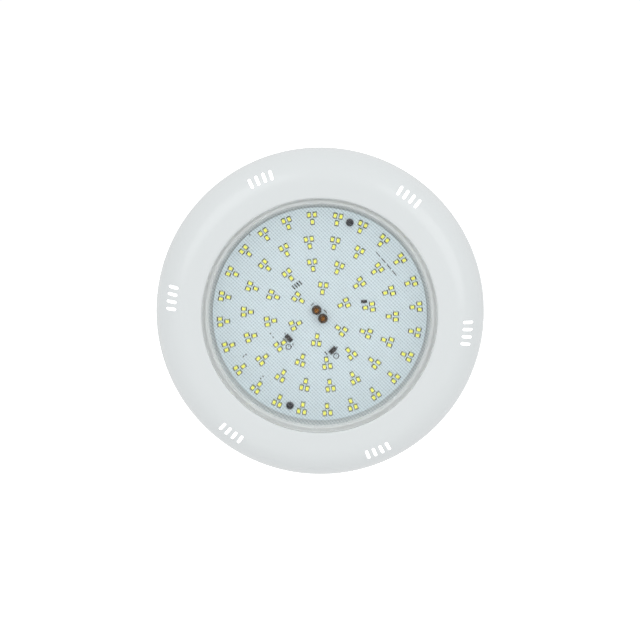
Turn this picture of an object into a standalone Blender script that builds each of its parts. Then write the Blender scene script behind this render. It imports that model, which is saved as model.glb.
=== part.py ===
"""Surface-mounted LED pool light: wall bracket, sealed lamp, cable gland and face ring.

World units are metres and +Z is up. The wall is the plane y = 0 and the light stands out
from it towards -Y. The pieces are drawn in the lamp's own frame, where x runs across, y up
and z is the distance from the wall, and an empty turns that frame into place. The lengths
written here are millimetres; they become metres when a vertex is made. Angles are degrees,
counted anticlockwise from the right as seen from the front.
"""

import math

import bmesh
import bpy
from mathutils import Matrix, Vector

MM = 0.001
GAP = 0.3                     # clearance between pieces that touch

# Face ring
RING_RADIUS = 145.0
RING_REAR = 8.0               # distance of the ring's rear edge from the wall
RING_INNER_RADIUS = 103.0
RING_SHELL = 2.8
RING_FACE = 52.0              # the light's whole depth
RING_LIP_REAR = 47.0          # the opening's edge, just in front of the lens flange
RING_FLAT_END = 115.0         # where the flat face turns into the rounded shoulder
SHOULDER_POWER = 2.3          # exponent of the shoulder's superellipse
SLEEVE_INNER_RADIUS = 114.3
SLEEVE_OUTER_RADIUS = 116.5
SLEEVE_REAR = 36.0
SLOT_WIDTH = 3.0
SLOT_LENGTH = 9.0
SLOT_RADIUS = 130.0
SLOT_GROUPS = 6
SLOT_ANGLES = (-4.2, -1.55, 1.55, 4.2)

# Wall bracket
PLATE_RADIUS = 80.0
PLATE_THICK = 3.0
CABLE_WINDOW_RADII = (44.0, 66.0)
CABLE_WINDOW_HALF_ANGLE = 25.0
WALL_SLOT_SIZE = (12.0, 5.5)
WALL_SLOT_RADIUS = 64.0       # of the two upper slots
WALL_SLOT_LOW = 72.5          # how far the lowest slot is below the axis
LOCK_ANGLES = (90.0, 210.0, 330.0)
CLAW_HALF_ANGLE = 9.0
CLAW_ROOT = 1.0               # sunk into the plate so that the two join
CLAW_INNER_RADIUS = 70.0
CLAW_WALL = 4.0
CLAW_TIP_RADIUS = 81.5
CLAW_LIP_REAR = 13.0
CLAW_LIP_FRONT = 16.0
STOP_ANGLE = 3.5

# Lamp housing
HUB_RADIUS = 40.0
WALL_THICK = 3.0
HUB_REAR = PLATE_THICK + GAP
FLOOR_REAR = 29.0
FLOOR_FRONT = FLOOR_REAR + WALL_THICK
WELL_RADIUS = 97.5
WELL_WALL_RADIUS = 101.0
FLANGE_RADIUS = 114.0
FLANGE_REAR = 37.0
FLANGE_FRONT = 40.0
HOOK_HALF_ANGLE = 8.5
HOOK_LIP_THICK = 3.4
HOOK_RADII = (76.5, 82.5, 85.5)   # lip's inner edge, wall's inner side, wall's outer side
KEY_ANGLES = (30.0, 150.0, 270.0)
KEY_HALF_ANGLE = 4.0
KEY_NOTCH_HALF_ANGLE = 4.6
RIB_WIDTH = 2.0
RIB_REAR = 26.0
BOARD_BOSS = (4.2, 24.0)      # radius and rear end
LENS_BOSS = (4.0, 30.0)

# Lens and its screws
LENS_RADIUS = 113.0
PANE_RADIUS = 102.0
PANE_FRONT = 47.5
LENS_THICK = 3.0
LENS_REAR = 41.8
LENS_SCREWS = 8
LENS_SCREW_CIRCLE = 108.0
LENS_SCREW_HOLE = 2.2
LENS_CLEARANCE_HOLE = 2.3
LENS_STEP_RADIUS = 98.0       # where the pane's inner face meets the seal land
PANE_EDGE = 0.8               # bevel round the pane
SEAL_RADII = (99.5, 104.5)
PAD_RADII = (44.0, 90.0)
PAD_SCREW_HOLE = 2.4

# LED board
BOARD_RADIUS = 94.0
BOARD_REAR = 33.3
BOARD_THICK = 1.6
BOARD_FRONT = BOARD_REAR + BOARD_THICK
BOARD_SCREW_CIRCLE = 85.0
BOARD_SCREW_ANGLES = (78.75, 258.75)
BOARD_SCREW_HOLE = 1.8
RECTIFIER_SIZE = (5.2, 4.2, 2.2)   # length, width and height of the body
FUSE_SIZE = (3.2, 2.8, 1.4)
LEAD_REACH = 0.9              # how far a small part's leads stand out at each end
LED_LENGTH = 3.5
LED_WIDTH = 2.8
LED_HEIGHT = 0.75
LED_RINGS = ((6, 23.9, 30.0), (12, 44.6, 15.0), (18, 64.7, 5.0), (24, 85.7, 11.25))  # count, radius, start
LED_CLUSTER = ((-4.2, 0.0), (2.1, 2.6), (2.1, -2.6))   # outward and sideways from the cluster's middle

# Terminals in the middle of the board
TERMINAL_SPACING = 9.3
TERMINAL_ANGLE = 134.0
POST_RADIUS = 2.0
POST_REAR, POST_FRONT = 24.0, 40.6
WASHER_RADIUS, WASHER_THICK = 4.2, 0.8
NUT_ACROSS, NUT_THICK = 7.0, 3.2
BLOCK_SIZE = (34.0, 18.0)
BLOCK_FRONT = 20.0
PILLAR_RADIUS = 9.2
CLAMP_SCREW_REACH = 13.4      # from the block's middle
CLAMP_SCREW_HOLE = 1.9

# Screws: head radius, head height, shank radius, distance of the tip from the wall
LENS_SCREW = (3.8, 1.6, 1.9, 33.0)
BOARD_SCREW = (3.4, 2.0, 1.5, 26.0)
CLAMP_SCREW = (2.6, 1.8, 1.6, 12.0)

# Cable gland, which points down out of the hub; places along it are counted down from the lamp's axis
GLAND_DEPTH = 16.5            # distance of the gland's axis from the wall
GLAND_THREAD_RADIUS = 8.0
GLAND_SLEEVE_RADIUS = 7.6     # of the stem's end inside the cap, and of the thread's chamfer
GLAND_HEX = 19.0
CABLE_BORE_RADIUS = 4.6
GLAND_SEAT_RADIUS = 6.6       # of the seat for the rubber insert
BOSS_WIDTH = 26.0
BOSS_OUTER, BOSS_INNER = 42.0, 33.0
STEM_START, STEM_END = 27.0, 57.0
BODY_HEX_HEIGHT = 5.5
CAP_START, CAP_HEX_END, CAP_END = 50.4, 59.0, 64.4
CAP_RADIUS, CAP_MOUTH_RADIUS, CAP_BORE_RADIUS = 9.2, 6.4, 7.9
INSERT_START, INSERT_END, INSERT_RADIUS = 52.4, 60.3, 6.3
LOCKNUT_THICK = 4.6
O_RING_RADIUS, O_RING_SECTION = 9.0, 0.6

ROUND = 60                    # sides of a large circle
MEDIUM_ROUND = 32             # sides of the gland's rounds and of the pillar
SMALL_ROUND = 12              # sides of a screw, a post or a screw hole
OVERLAP = 1.0                 # how far a cutter runs past the face it cuts through
WELD = 0.00001


# ---------------------------------------------------------------- outlines

def polar(radius, angle):
    """The point (x, y) at a radius and an angle in degrees."""
    return (radius * math.cos(math.radians(angle)), radius * math.sin(math.radians(angle)))


def circle(radius, centre=(0.0, 0.0), sides=SMALL_ROUND):
    points = [polar(radius, 360.0 * i / sides) for i in range(sides)]
    return [(centre[0] + x, centre[1] + y) for x, y in points]


def hexagon(across_flats):
    """A hexagon with two corners on the x axis."""
    return circle(across_flats / math.sqrt(3.0), sides=6)


def placed(outline, centre, angle):
    """Turn an outline by an angle about its own middle, then move it to a centre."""
    turn = Matrix.Rotation(math.radians(angle), 2)
    moved = [turn @ Vector(point) + Vector(centre) for point in outline]
    return [(point.x, point.y) for point in moved]


def rectangle(length, width, centre=(0.0, 0.0), angle=0.0):
    x, y = length / 2.0, width / 2.0
    return placed([(-x, -y), (x, -y), (x, y), (-x, y)], centre, angle)


def stadium(length, width, centre=(0.0, 0.0), angle=0.0, sides=3):
    """A slot's outline: two straight sides and two half-round ends."""
    radius = width / 2.0
    reach = length / 2.0 - radius
    ends = []
    for side, start in ((1.0, -90.0), (-1.0, 90.0)):
        for i in range(sides + 1):
            x, y = polar(radius, start + 180.0 * i / sides)
            ends.append((side * reach + x, y))
    return placed(ends, centre, angle)


# ---------------------------------------------------------------- solids in a bmesh

def raise_faces(bm, faces, height):
    """Turn flat faces into a closed solid of a given height."""
    raised = bmesh.ops.extrude_face_region(bm, geom=faces, use_keep_orig=True)
    tops = [item for item in raised["geom"] if isinstance(item, bmesh.types.BMVert)]
    bmesh.ops.translate(bm, vec=(0.0, 0.0, height * MM), verts=tops)


def prism(bm, outline, low, high):
    """Add a closed prism: an outline raised from one distance to another."""
    verts = [bm.verts.new((x * MM, y * MM, low * MM)) for x, y in outline]
    raise_faces(bm, [bm.faces.new(verts)], high - low)


def hollow_prism(bm, outer, inner, low, high):
    """Add a prism with a hole through it, such as a nut."""
    edges = []
    for outline in (outer, inner):
        verts = [bm.verts.new((x * MM, y * MM, low * MM)) for x, y in outline]
        edges += [bm.edges.new(pair) for pair in zip(verts, verts[1:] + verts[:1])]
    flat = bmesh.ops.bridge_loops(bm, edges=edges)["faces"]
    raise_faces(bm, flat, high - low)


def turned(bm, profile, steps=ROUND):
    """Add a full round: (radius, distance) points turned about the frame's z axis."""
    verts = [bm.verts.new((radius * MM, 0.0, z * MM)) for radius, z in profile]
    edges = [bm.edges.new(pair) for pair in zip(verts, verts[1:])]
    if profile[0][0] > 0.0:
        edges.append(bm.edges.new((verts[-1], verts[0])))
    bmesh.ops.spin(bm, geom=verts + edges, cent=(0, 0, 0), axis=(0, 0, 1),
                   angle=2.0 * math.pi, steps=steps, use_duplicate=False)
    bmesh.ops.remove_doubles(bm, verts=bm.verts, dist=WELD)


def sector(bm, profile, start, end, steps=6):
    """Add a closed block: (radius, distance) points swept about the axis between two angles."""
    turn = Matrix.Rotation(math.radians(start), 4, "Z")
    verts = [bm.verts.new(turn @ Vector((radius * MM, 0.0, z * MM))) for radius, z in profile]
    edges = [bm.edges.new(pair) for pair in zip(verts, verts[1:] + verts[:1])]
    bm.faces.new(verts)
    swept = bmesh.ops.spin(bm, geom=verts + edges, cent=(0, 0, 0), axis=(0, 0, 1),
                           angle=math.radians(end - start), steps=steps, use_duplicate=False)
    last = [item for item in swept["geom_last"] if isinstance(item, bmesh.types.BMEdge)]
    bmesh.ops.contextual_create(bm, geom=last)


def box_profile(inner, outer, rear, front):
    return [(inner, rear), (outer, rear), (outer, front), (inner, front)]


# ---------------------------------------------------------------- objects

def make_material(name, colour, roughness, metallic=0.0):
    material = bpy.data.materials.new(name)
    material.use_nodes = True
    shader = material.node_tree.nodes["Principled BSDF"]
    shader.inputs["Base Color"].default_value = (*colour, 1.0)
    shader.inputs["Roughness"].default_value = roughness
    shader.inputs["Metallic"].default_value = metallic
    return material


def make_object(name, bm, frame, material=None):
    """Turn a bmesh into an object that hangs from a frame."""
    bmesh.ops.recalc_face_normals(bm, faces=bm.faces)
    mesh = bpy.data.meshes.new(name)
    bm.to_mesh(mesh)
    bm.free()
    mesh.shade_smooth()
    mesh.set_sharp_from_angle(angle=math.radians(35.0))
    obj = bpy.data.objects.new(name, mesh)
    bpy.context.collection.objects.link(obj)
    obj.parent = frame
    if material:
        mesh.materials.append(material)
    return obj


def make_frame(name, parent=None, location=(0.0, 0.0, 0.0)):
    """An empty whose z axis points along its parent's -y axis."""
    frame = bpy.data.objects.new(name, None)
    bpy.context.collection.objects.link(frame)
    frame.parent = parent
    frame.location = [value * MM for value in location]
    frame.rotation_euler = (math.radians(90.0), 0.0, 0.0)
    return frame


def combine(target, tool, operation):
    """Join a tool to a target (UNION) or cut it out of the target (DIFFERENCE)."""
    tool.hide_render = True
    tool.display_type = "WIRE"
    modifier = target.modifiers.new(tool.name, "BOOLEAN")
    modifier.operation = operation
    modifier.object = tool


def copies(source, stem, centres):
    """Rename a piece made at the origin and repeat it at each centre."""
    for number, (x, y) in enumerate(centres, start=1):
        piece = source
        if number > 1:
            piece = source.copy()
            bpy.context.collection.objects.link(piece)
        piece.name = f"{stem}_{number}"
        piece.location = (x * MM, y * MM, 0.0)


# ---------------------------------------------------------------- wall bracket

def make_wall_bracket(lamp, material):
    """A disc screwed to the wall, with three claws that hold the lamp's hooks."""
    bm = bmesh.new()
    turned(bm, [(0.0, PLATE_THICK), (PLATE_RADIUS, PLATE_THICK), (PLATE_RADIUS, 0.0), (0.0, 0.0)])
    bracket = make_object("wall_bracket", bm, lamp, material)
    combine(bracket, make_claws(lamp), "UNION")
    combine(bracket, make_claw_stops(lamp), "UNION")
    combine(bracket, make_bracket_holes(lamp), "DIFFERENCE")


def make_claws(lamp):
    """Three L-shaped claws: a wall off the plate and a lip that reaches outwards."""
    wall_outer = CLAW_INNER_RADIUS + CLAW_WALL
    profile = [(CLAW_INNER_RADIUS, CLAW_ROOT), (wall_outer, CLAW_ROOT), (wall_outer, CLAW_LIP_REAR),
               (CLAW_TIP_RADIUS, CLAW_LIP_REAR), (CLAW_TIP_RADIUS, CLAW_LIP_FRONT),
               (CLAW_INNER_RADIUS, CLAW_LIP_FRONT)]
    bm = bmesh.new()
    for angle in LOCK_ANGLES:
        sector(bm, profile, angle - CLAW_HALF_ANGLE, angle + CLAW_HALF_ANGLE)
    return make_object("claw_tool", bm, lamp)


def make_claw_stops(lamp):
    """A block at the clockwise end of each claw, where the hook comes to rest, and the foot under it."""
    block_rear = 8.0
    block = box_profile(CLAW_INNER_RADIUS + 1.0, CLAW_TIP_RADIUS - 0.2, block_rear, CLAW_LIP_FRONT - 0.2)
    foot = box_profile(CLAW_INNER_RADIUS, CLAW_INNER_RADIUS + CLAW_WALL, CLAW_ROOT, block_rear - 0.2)
    bm = bmesh.new()
    for angle in LOCK_ANGLES:
        end = angle - CLAW_HALF_ANGLE
        sector(bm, block, end - STOP_ANGLE, end + 0.1, steps=2)
        sector(bm, foot, end - STOP_ANGLE, end - 0.5, steps=2)
    return make_object("claw_stop_tool", bm, lamp)


def make_bracket_holes(lamp):
    """The window the cable passes through and the three slots for wall screws."""
    bm = bmesh.new()
    rear, front = -OVERLAP, PLATE_THICK + OVERLAP
    window = box_profile(*CABLE_WINDOW_RADII, rear, front)
    sector(bm, window, 270.0 - CABLE_WINDOW_HALF_ANGLE, 270.0 + CABLE_WINDOW_HALF_ANGLE, steps=12)
    length, width = WALL_SLOT_SIZE
    for angle in (30.0, 150.0):
        prism(bm, stadium(length, width, polar(WALL_SLOT_RADIUS, angle), 90.0), rear, front)
    prism(bm, stadium(length, width, (0.0, -WALL_SLOT_LOW)), rear, front)
    return make_object("bracket_hole_cutter", bm, lamp)


# ---------------------------------------------------------------- lamp housing

def make_lamp_housing(lamp, gland, material):
    """The sealed bowl: hub for the wiring, floor under the board, side wall and flange."""
    inner = HUB_RADIUS - WALL_THICK
    profile = [(0.0, HUB_REAR + WALL_THICK), (inner, HUB_REAR + WALL_THICK), (inner, FLOOR_FRONT),
               (WELL_RADIUS, FLOOR_FRONT), (WELL_RADIUS, FLANGE_FRONT), (FLANGE_RADIUS, FLANGE_FRONT),
               (FLANGE_RADIUS, FLANGE_REAR), (WELL_WALL_RADIUS, FLANGE_REAR),
               (WELL_WALL_RADIUS, FLOOR_REAR), (HUB_RADIUS, FLOOR_REAR), (HUB_RADIUS, HUB_REAR),
               (0.0, HUB_REAR)]
    bm = bmesh.new()
    turned(bm, profile)
    housing = make_object("lamp_housing", bm, lamp, material)
    combine(housing, make_ribs_and_bosses(lamp), "UNION")
    combine(housing, make_hooks_and_keys(lamp), "UNION")
    combine(housing, make_gland_boss(lamp), "UNION")
    combine(housing, make_housing_screw_holes(lamp), "DIFFERENCE")
    combine(housing, make_gland_hole(gland), "DIFFERENCE")


def lens_screw_centres():
    step = 360.0 / LENS_SCREWS
    return [polar(LENS_SCREW_CIRCLE, step * (i + 0.5)) for i in range(LENS_SCREWS)]


def board_screw_centres():
    return [polar(BOARD_SCREW_CIRCLE, angle) for angle in BOARD_SCREW_ANGLES]


def make_ribs_and_bosses(lamp):
    """Radial ribs behind the floor and the bosses that take the screws."""
    bm = bmesh.new()
    rib_start, rib_end = HUB_RADIUS - 1.0, WELL_WALL_RADIUS - 1.0
    for angle in range(15, 360, 30):
        if abs(angle - 270) > 20:      # the gland needs the room straight below the hub
            centre = polar((rib_start + rib_end) / 2.0, angle)
            outline = rectangle(rib_end - rib_start, RIB_WIDTH, centre, angle)
            prism(bm, outline, RIB_REAR, FLOOR_REAR + 0.5)
    radius, rear = BOARD_BOSS
    for centre in board_screw_centres():
        prism(bm, circle(radius, centre), rear, FLOOR_REAR + 0.6)
    radius, rear = LENS_BOSS
    for centre in lens_screw_centres():
        prism(bm, circle(radius, centre), rear, FLANGE_REAR + 0.7)
    return make_object("rib_tool", bm, lamp)


def make_hooks_and_keys(lamp):
    """Three hooks that turn in behind the claws, and three keys that the face ring sits on."""
    lip, wall_inner, wall_outer = HOOK_RADII
    lip_front = CLAW_LIP_REAR - GAP
    lip_rear = lip_front - HOOK_LIP_THICK
    root = FLOOR_REAR + 1.0
    profile = [(lip, lip_rear), (wall_outer, lip_rear), (wall_outer, root), (wall_inner, root),
               (wall_inner, lip_front), (lip, lip_front)]
    bm = bmesh.new()
    for angle in LOCK_ANGLES:
        sector(bm, profile, angle - HOOK_HALF_ANGLE, angle + HOOK_HALF_ANGLE)
    key_outer = SLEEVE_OUTER_RADIUS - GAP
    key = box_profile(FLANGE_RADIUS - 2.0, key_outer, FLANGE_REAR + 0.4, FLANGE_FRONT - 0.4)
    for angle in KEY_ANGLES:
        sector(bm, key, angle - KEY_HALF_ANGLE, angle + KEY_HALF_ANGLE, steps=3)
    return make_object("hook_tool", bm, lamp)


def make_gland_boss(lamp):
    """A block through the hub's lower wall with a flat face inside and outside."""
    bm = bmesh.new()
    middle = -(BOSS_INNER + BOSS_OUTER) / 2.0
    outline = rectangle(BOSS_WIDTH, BOSS_OUTER - BOSS_INNER, (0.0, middle))
    prism(bm, outline, HUB_REAR + 1.7, FLOOR_REAR + 0.4)
    return make_object("gland_boss_tool", bm, lamp)


def make_housing_screw_holes(lamp):
    bm = bmesh.new()
    for centre in board_screw_centres():
        prism(bm, circle(BOARD_SCREW_HOLE, centre), BOARD_BOSS[1] + 1.5, FLOOR_FRONT + OVERLAP)
    for centre in lens_screw_centres():
        prism(bm, circle(LENS_SCREW_HOLE, centre), LENS_BOSS[1] + 2.0, FLANGE_FRONT + OVERLAP)
    return make_object("housing_screw_cutter", bm, lamp)


def make_gland_hole(gland):
    bm = bmesh.new()
    outline = circle(GLAND_THREAD_RADIUS + GAP, sides=MEDIUM_ROUND)
    prism(bm, outline, BOSS_INNER - 3.0, BOSS_OUTER + 3.0)
    return make_object("gland_hole_cutter", bm, gland)


# ---------------------------------------------------------------- front of the lamp

def make_lens(lamp, material):
    """A clear plate: a raised pane and a screwed flange round it."""
    pane_rear = PANE_FRONT - LENS_THICK
    flange_front = LENS_REAR + LENS_THICK
    profile = [(0.0, PANE_FRONT), (PANE_RADIUS - PANE_EDGE, PANE_FRONT),
               (PANE_RADIUS, PANE_FRONT - PANE_EDGE), (PANE_RADIUS, flange_front),
               (LENS_RADIUS, flange_front), (LENS_RADIUS, LENS_REAR),
               (LENS_STEP_RADIUS, LENS_REAR), (LENS_STEP_RADIUS, pane_rear), (0.0, pane_rear)]
    bm = bmesh.new()
    turned(bm, profile)
    lens = make_object("lens", bm, lamp, material)
    bm = bmesh.new()
    for centre in lens_screw_centres():
        prism(bm, circle(LENS_CLEARANCE_HOLE, centre), LENS_REAR - OVERLAP, flange_front + OVERLAP)
    combine(lens, make_object("lens_hole_cutter", bm, lamp), "DIFFERENCE")


def make_lens_seal(lamp, material):
    bm = bmesh.new()
    turned(bm, box_profile(*SEAL_RADII, FLANGE_FRONT + GAP, LENS_REAR - GAP))
    make_object("lens_seal", bm, lamp, material)


def screw(frame, name, size, head_rear, material):
    """A pan-head screw that stands along the frame's z axis, head to the front."""
    head_radius, head_height, shank_radius, tip = size
    top = head_rear + head_height
    profile = [(0.0, top), (head_radius * 0.7, top), (head_radius, head_rear + head_height * 0.5),
               (head_radius, head_rear), (shank_radius, head_rear), (shank_radius, tip + 0.8),
               (shank_radius * 0.5, tip), (0.0, tip)]
    bm = bmesh.new()
    turned(bm, profile, steps=SMALL_ROUND)
    return make_object(name, bm, frame, material)


def make_lens_screws(lamp, material):
    source = screw(lamp, "lens_screw", LENS_SCREW, LENS_REAR + LENS_THICK + GAP, material)
    copies(source, "lens_screw", lens_screw_centres())


def make_board_screws(lamp, material):
    source = screw(lamp, "board_screw", BOARD_SCREW, BOARD_FRONT + GAP, material)
    copies(source, "board_screw", board_screw_centres())


def make_thermal_pad(lamp, material):
    bm = bmesh.new()
    turned(bm, box_profile(*PAD_RADII, FLOOR_FRONT + GAP, BOARD_REAR - GAP))
    pad = make_object("thermal_pad", bm, lamp, material)
    bm = bmesh.new()
    for centre in board_screw_centres():
        prism(bm, circle(PAD_SCREW_HOLE, centre), FLOOR_FRONT - OVERLAP, BOARD_REAR + OVERLAP)
    combine(pad, make_object("pad_hole_cutter", bm, lamp), "DIFFERENCE")


# ---------------------------------------------------------------- LED board

def led_places():
    """The middle (x, y) and the angle of each LED."""
    for count, radius, start in LED_RINGS:
        for i in range(count):
            angle = start + 360.0 * i / count
            outward, sideways = Vector(polar(1.0, angle)), Vector(polar(1.0, angle + 90.0))
            for out, side in LED_CLUSTER:
                centre = outward * (radius + out) + sideways * side
                yield (centre.x, centre.y), angle


def terminal_centres():
    half = TERMINAL_SPACING / 2.0
    return [polar(half, TERMINAL_ANGLE), polar(half, TERMINAL_ANGLE + 180.0)]


def make_led_board(lamp, material):
    """A round board with every LED package standing on it."""
    bm = bmesh.new()
    profile = [(0.0, BOARD_FRONT), (BOARD_RADIUS, BOARD_FRONT), (BOARD_RADIUS, BOARD_REAR), (0.0, BOARD_REAR)]
    turned(bm, profile)
    board = make_object("led_board", bm, lamp, material)
    bm = bmesh.new()
    for centre, angle in led_places():
        outline = rectangle(LED_LENGTH, LED_WIDTH, centre, angle)
        prism(bm, outline, BOARD_FRONT - 0.4, BOARD_FRONT + LED_HEIGHT)
    combine(board, make_object("led_tool", bm, lamp), "UNION")
    bm = bmesh.new()
    holes = [(BOARD_SCREW_HOLE, centre) for centre in board_screw_centres()]
    holes += [(POST_RADIUS + GAP, centre) for centre in terminal_centres()]
    for radius, centre in holes:
        prism(bm, circle(radius, centre), BOARD_REAR - OVERLAP, BOARD_FRONT + OVERLAP)
    combine(board, make_object("board_hole_cutter", bm, lamp), "DIFFERENCE")


def make_board_part(lamp, name, size, centre, angle, material):
    """A small part soldered to the board: a body with a bevelled top and a lead at each end."""
    length, width, height = size
    foot = BOARD_FRONT + GAP
    bm = bmesh.new()
    prism(bm, rectangle(length, width), foot, foot + height)
    top = [edge for edge in bm.edges if all(vert.co.z > (foot + height / 2.0) * MM for vert in edge.verts)]
    bmesh.ops.bevel(bm, geom=top, offset=0.3 * MM, segments=1, affect="EDGES")
    part = make_object(name, bm, lamp, material)
    part.location = (centre[0] * MM, centre[1] * MM, 0.0)
    part.rotation_euler = (0.0, 0.0, math.radians(angle))
    bm = bmesh.new()
    prism(bm, rectangle(length + 2.0 * LEAD_REACH, width * 0.55), foot + 0.1, foot + 0.6)
    leads = make_object(name + "_lead_tool", bm, part)
    combine(part, leads, "UNION")


# ---------------------------------------------------------------- terminals

def make_terminal_block(lamp, material):
    """An insulating block in the hub: a base for the cable's cores and a pillar for the posts."""
    base_rear = HUB_REAR + WALL_THICK + GAP
    bm = bmesh.new()
    prism(bm, rectangle(*BLOCK_SIZE), base_rear, BLOCK_FRONT)
    block = make_object("terminal_block", bm, lamp, material)
    bm = bmesh.new()
    prism(bm, circle(PILLAR_RADIUS, sides=MEDIUM_ROUND), BLOCK_FRONT - 2.0, BOARD_REAR - GAP)
    combine(block, make_object("pillar_tool", bm, lamp), "UNION")
    bm = bmesh.new()
    for centre in terminal_centres():
        prism(bm, circle(POST_RADIUS + GAP, centre), POST_REAR - OVERLAP, BOARD_REAR + OVERLAP)
    for centre in clamp_screw_centres():
        prism(bm, circle(CLAMP_SCREW_HOLE, centre), CLAMP_SCREW[3] - OVERLAP, BLOCK_FRONT + OVERLAP)
    combine(block, make_object("block_hole_cutter", bm, lamp), "DIFFERENCE")


def clamp_screw_centres():
    return [(CLAMP_SCREW_REACH, 0.0), (-CLAMP_SCREW_REACH, 0.0)]


def make_terminals(lamp, brass, steel):
    """Two posts through the board, each with a washer and a nut, and the two clamp screws."""
    washer_rear = BOARD_FRONT + GAP
    nut_rear = washer_rear + WASHER_THICK + GAP
    bore = POST_RADIUS + GAP

    profile = [(0.0, POST_FRONT), (POST_RADIUS - 0.5, POST_FRONT), (POST_RADIUS, POST_FRONT - 0.5),
               (POST_RADIUS, POST_REAR), (0.0, POST_REAR)]
    bm = bmesh.new()
    turned(bm, profile, steps=SMALL_ROUND)
    copies(make_object("terminal_post", bm, lamp, brass), "terminal_post", terminal_centres())

    bm = bmesh.new()
    turned(bm, box_profile(bore, WASHER_RADIUS, washer_rear, washer_rear + WASHER_THICK), steps=16)
    copies(make_object("terminal_washer", bm, lamp, steel), "terminal_washer", terminal_centres())

    bm = bmesh.new()
    hollow_prism(bm, hexagon(NUT_ACROSS), circle(bore), nut_rear, nut_rear + NUT_THICK)
    copies(make_object("terminal_nut", bm, lamp, brass), "terminal_nut", terminal_centres())

    clamp = screw(lamp, "clamp_screw", CLAMP_SCREW, BLOCK_FRONT + GAP, steel)
    copies(clamp, "clamp_screw", clamp_screw_centres())


# ---------------------------------------------------------------- cable gland

def make_gland_body(gland, material):
    """A threaded stem through the hub's wall, a hexagon outside and a sleeve for the cap."""
    hex_rear = BOSS_OUTER + 1.8
    hex_front = hex_rear + BODY_HEX_HEIGHT
    sleeve, edge = GLAND_SLEEVE_RADIUS, 0.4
    profile = [(0.0, STEM_END), (sleeve - edge, STEM_END), (sleeve, STEM_END - edge),
               (sleeve, hex_front - 0.5), (GLAND_THREAD_RADIUS, hex_front - 1.0),
               (GLAND_THREAD_RADIUS, STEM_START + 0.6), (sleeve, STEM_START), (0.0, STEM_START)]
    bm = bmesh.new()
    turned(bm, profile, steps=MEDIUM_ROUND)
    body = make_object("gland_body", bm, gland, material)
    bm = bmesh.new()
    prism(bm, hexagon(GLAND_HEX), hex_rear, hex_front)
    combine(body, make_object("gland_hex_tool", bm, gland), "UNION")
    profile = [(0.0, STEM_END + OVERLAP), (GLAND_SEAT_RADIUS, STEM_END + OVERLAP),
               (GLAND_SEAT_RADIUS, STEM_END - 5.0), (CABLE_BORE_RADIUS, STEM_END - 6.4),
               (CABLE_BORE_RADIUS, STEM_START - OVERLAP), (0.0, STEM_START - OVERLAP)]
    bm = bmesh.new()
    turned(bm, profile, steps=MEDIUM_ROUND)
    combine(body, make_object("gland_bore_cutter", bm, gland), "DIFFERENCE")


def make_gland_cap(gland, material):
    """The hexagon cap with a domed end, open for the cable."""
    bm = bmesh.new()
    prism(bm, hexagon(GLAND_HEX), CAP_START, CAP_HEX_END)
    cap = make_object("gland_cap", bm, gland, material)
    dome = [(0.0, CAP_END), (CAP_MOUTH_RADIUS, CAP_END), (7.8, CAP_END - 0.8), (8.8, CAP_END - 2.6),
            (CAP_RADIUS, CAP_HEX_END + 0.5), (CAP_RADIUS, CAP_START + 1.0), (0.0, CAP_START + 1.0)]
    bm = bmesh.new()
    turned(bm, dome, steps=MEDIUM_ROUND)
    combine(cap, make_object("gland_dome_tool", bm, gland), "UNION")
    hollow = [(0.0, CAP_END + 1.6), (CABLE_BORE_RADIUS, CAP_END + 1.6), (CABLE_BORE_RADIUS, CAP_END - 3.2),
              (6.0, CAP_END - 3.7), (6.8, CAP_HEX_END - 0.1), (CAP_BORE_RADIUS, CAP_HEX_END - 0.7),
              (CAP_BORE_RADIUS, CAP_START - OVERLAP), (0.0, CAP_START - OVERLAP)]
    bm = bmesh.new()
    turned(bm, hollow, steps=MEDIUM_ROUND)
    combine(cap, make_object("cap_bore_cutter", bm, gland), "DIFFERENCE")


def make_gland_small_parts(gland, rubber, nylon):
    """The O-ring under the hexagon, the locknut inside the hub and the insert in the cap."""
    section = circle(O_RING_SECTION, (O_RING_RADIUS, BOSS_OUTER + 0.9), sides=8)
    bm = bmesh.new()
    turned(bm, section, steps=MEDIUM_ROUND)
    make_object("gland_o_ring", bm, gland, rubber)

    bm = bmesh.new()
    nut_bore = circle(GLAND_THREAD_RADIUS + GAP, sides=30)
    nut_front = BOSS_INNER - GAP
    hollow_prism(bm, hexagon(GLAND_HEX), nut_bore, nut_front - LOCKNUT_THICK, nut_front)
    make_object("gland_locknut", bm, gland, nylon)

    bm = bmesh.new()
    bore = CABLE_BORE_RADIUS - GAP
    profile = [(bore, INSERT_END), (INSERT_RADIUS - 0.8, INSERT_END), (INSERT_RADIUS, INSERT_END - 1.5),
               (INSERT_RADIUS, INSERT_START), (bore, INSERT_START)]
    turned(bm, profile, steps=28)
    make_object("gland_insert", bm, gland, rubber)


# ---------------------------------------------------------------- face ring

def ring_outer_curve():
    """The ring's visible curve, from its inner edge over the flat face to the rear edge."""
    lip = [(RING_INNER_RADIUS, RING_LIP_REAR), (RING_INNER_RADIUS, RING_FACE - 1.8),
           (RING_INNER_RADIUS + 0.7, RING_FACE - 0.6), (RING_INNER_RADIUS + 2.2, RING_FACE),
           (RING_FLAT_END, RING_FACE)]
    return lip + shoulder(RING_RADIUS, RING_FACE, RING_FLAT_END)


def shoulder(outer_radius, top, start_radius):
    """A rounded shoulder, a superellipse from the flat face down to the rear edge."""
    steps = 7
    points = []
    for i in range(1, steps + 1):
        angle = math.radians(90.0 * (1.0 - i / steps))
        radius = start_radius + (outer_radius - start_radius) * math.cos(angle) ** (2.0 / SHOULDER_POWER)
        z = RING_REAR + (top - RING_REAR) * math.sin(angle) ** (2.0 / SHOULDER_POWER)
        points.append((radius, z))
    return points


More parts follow.
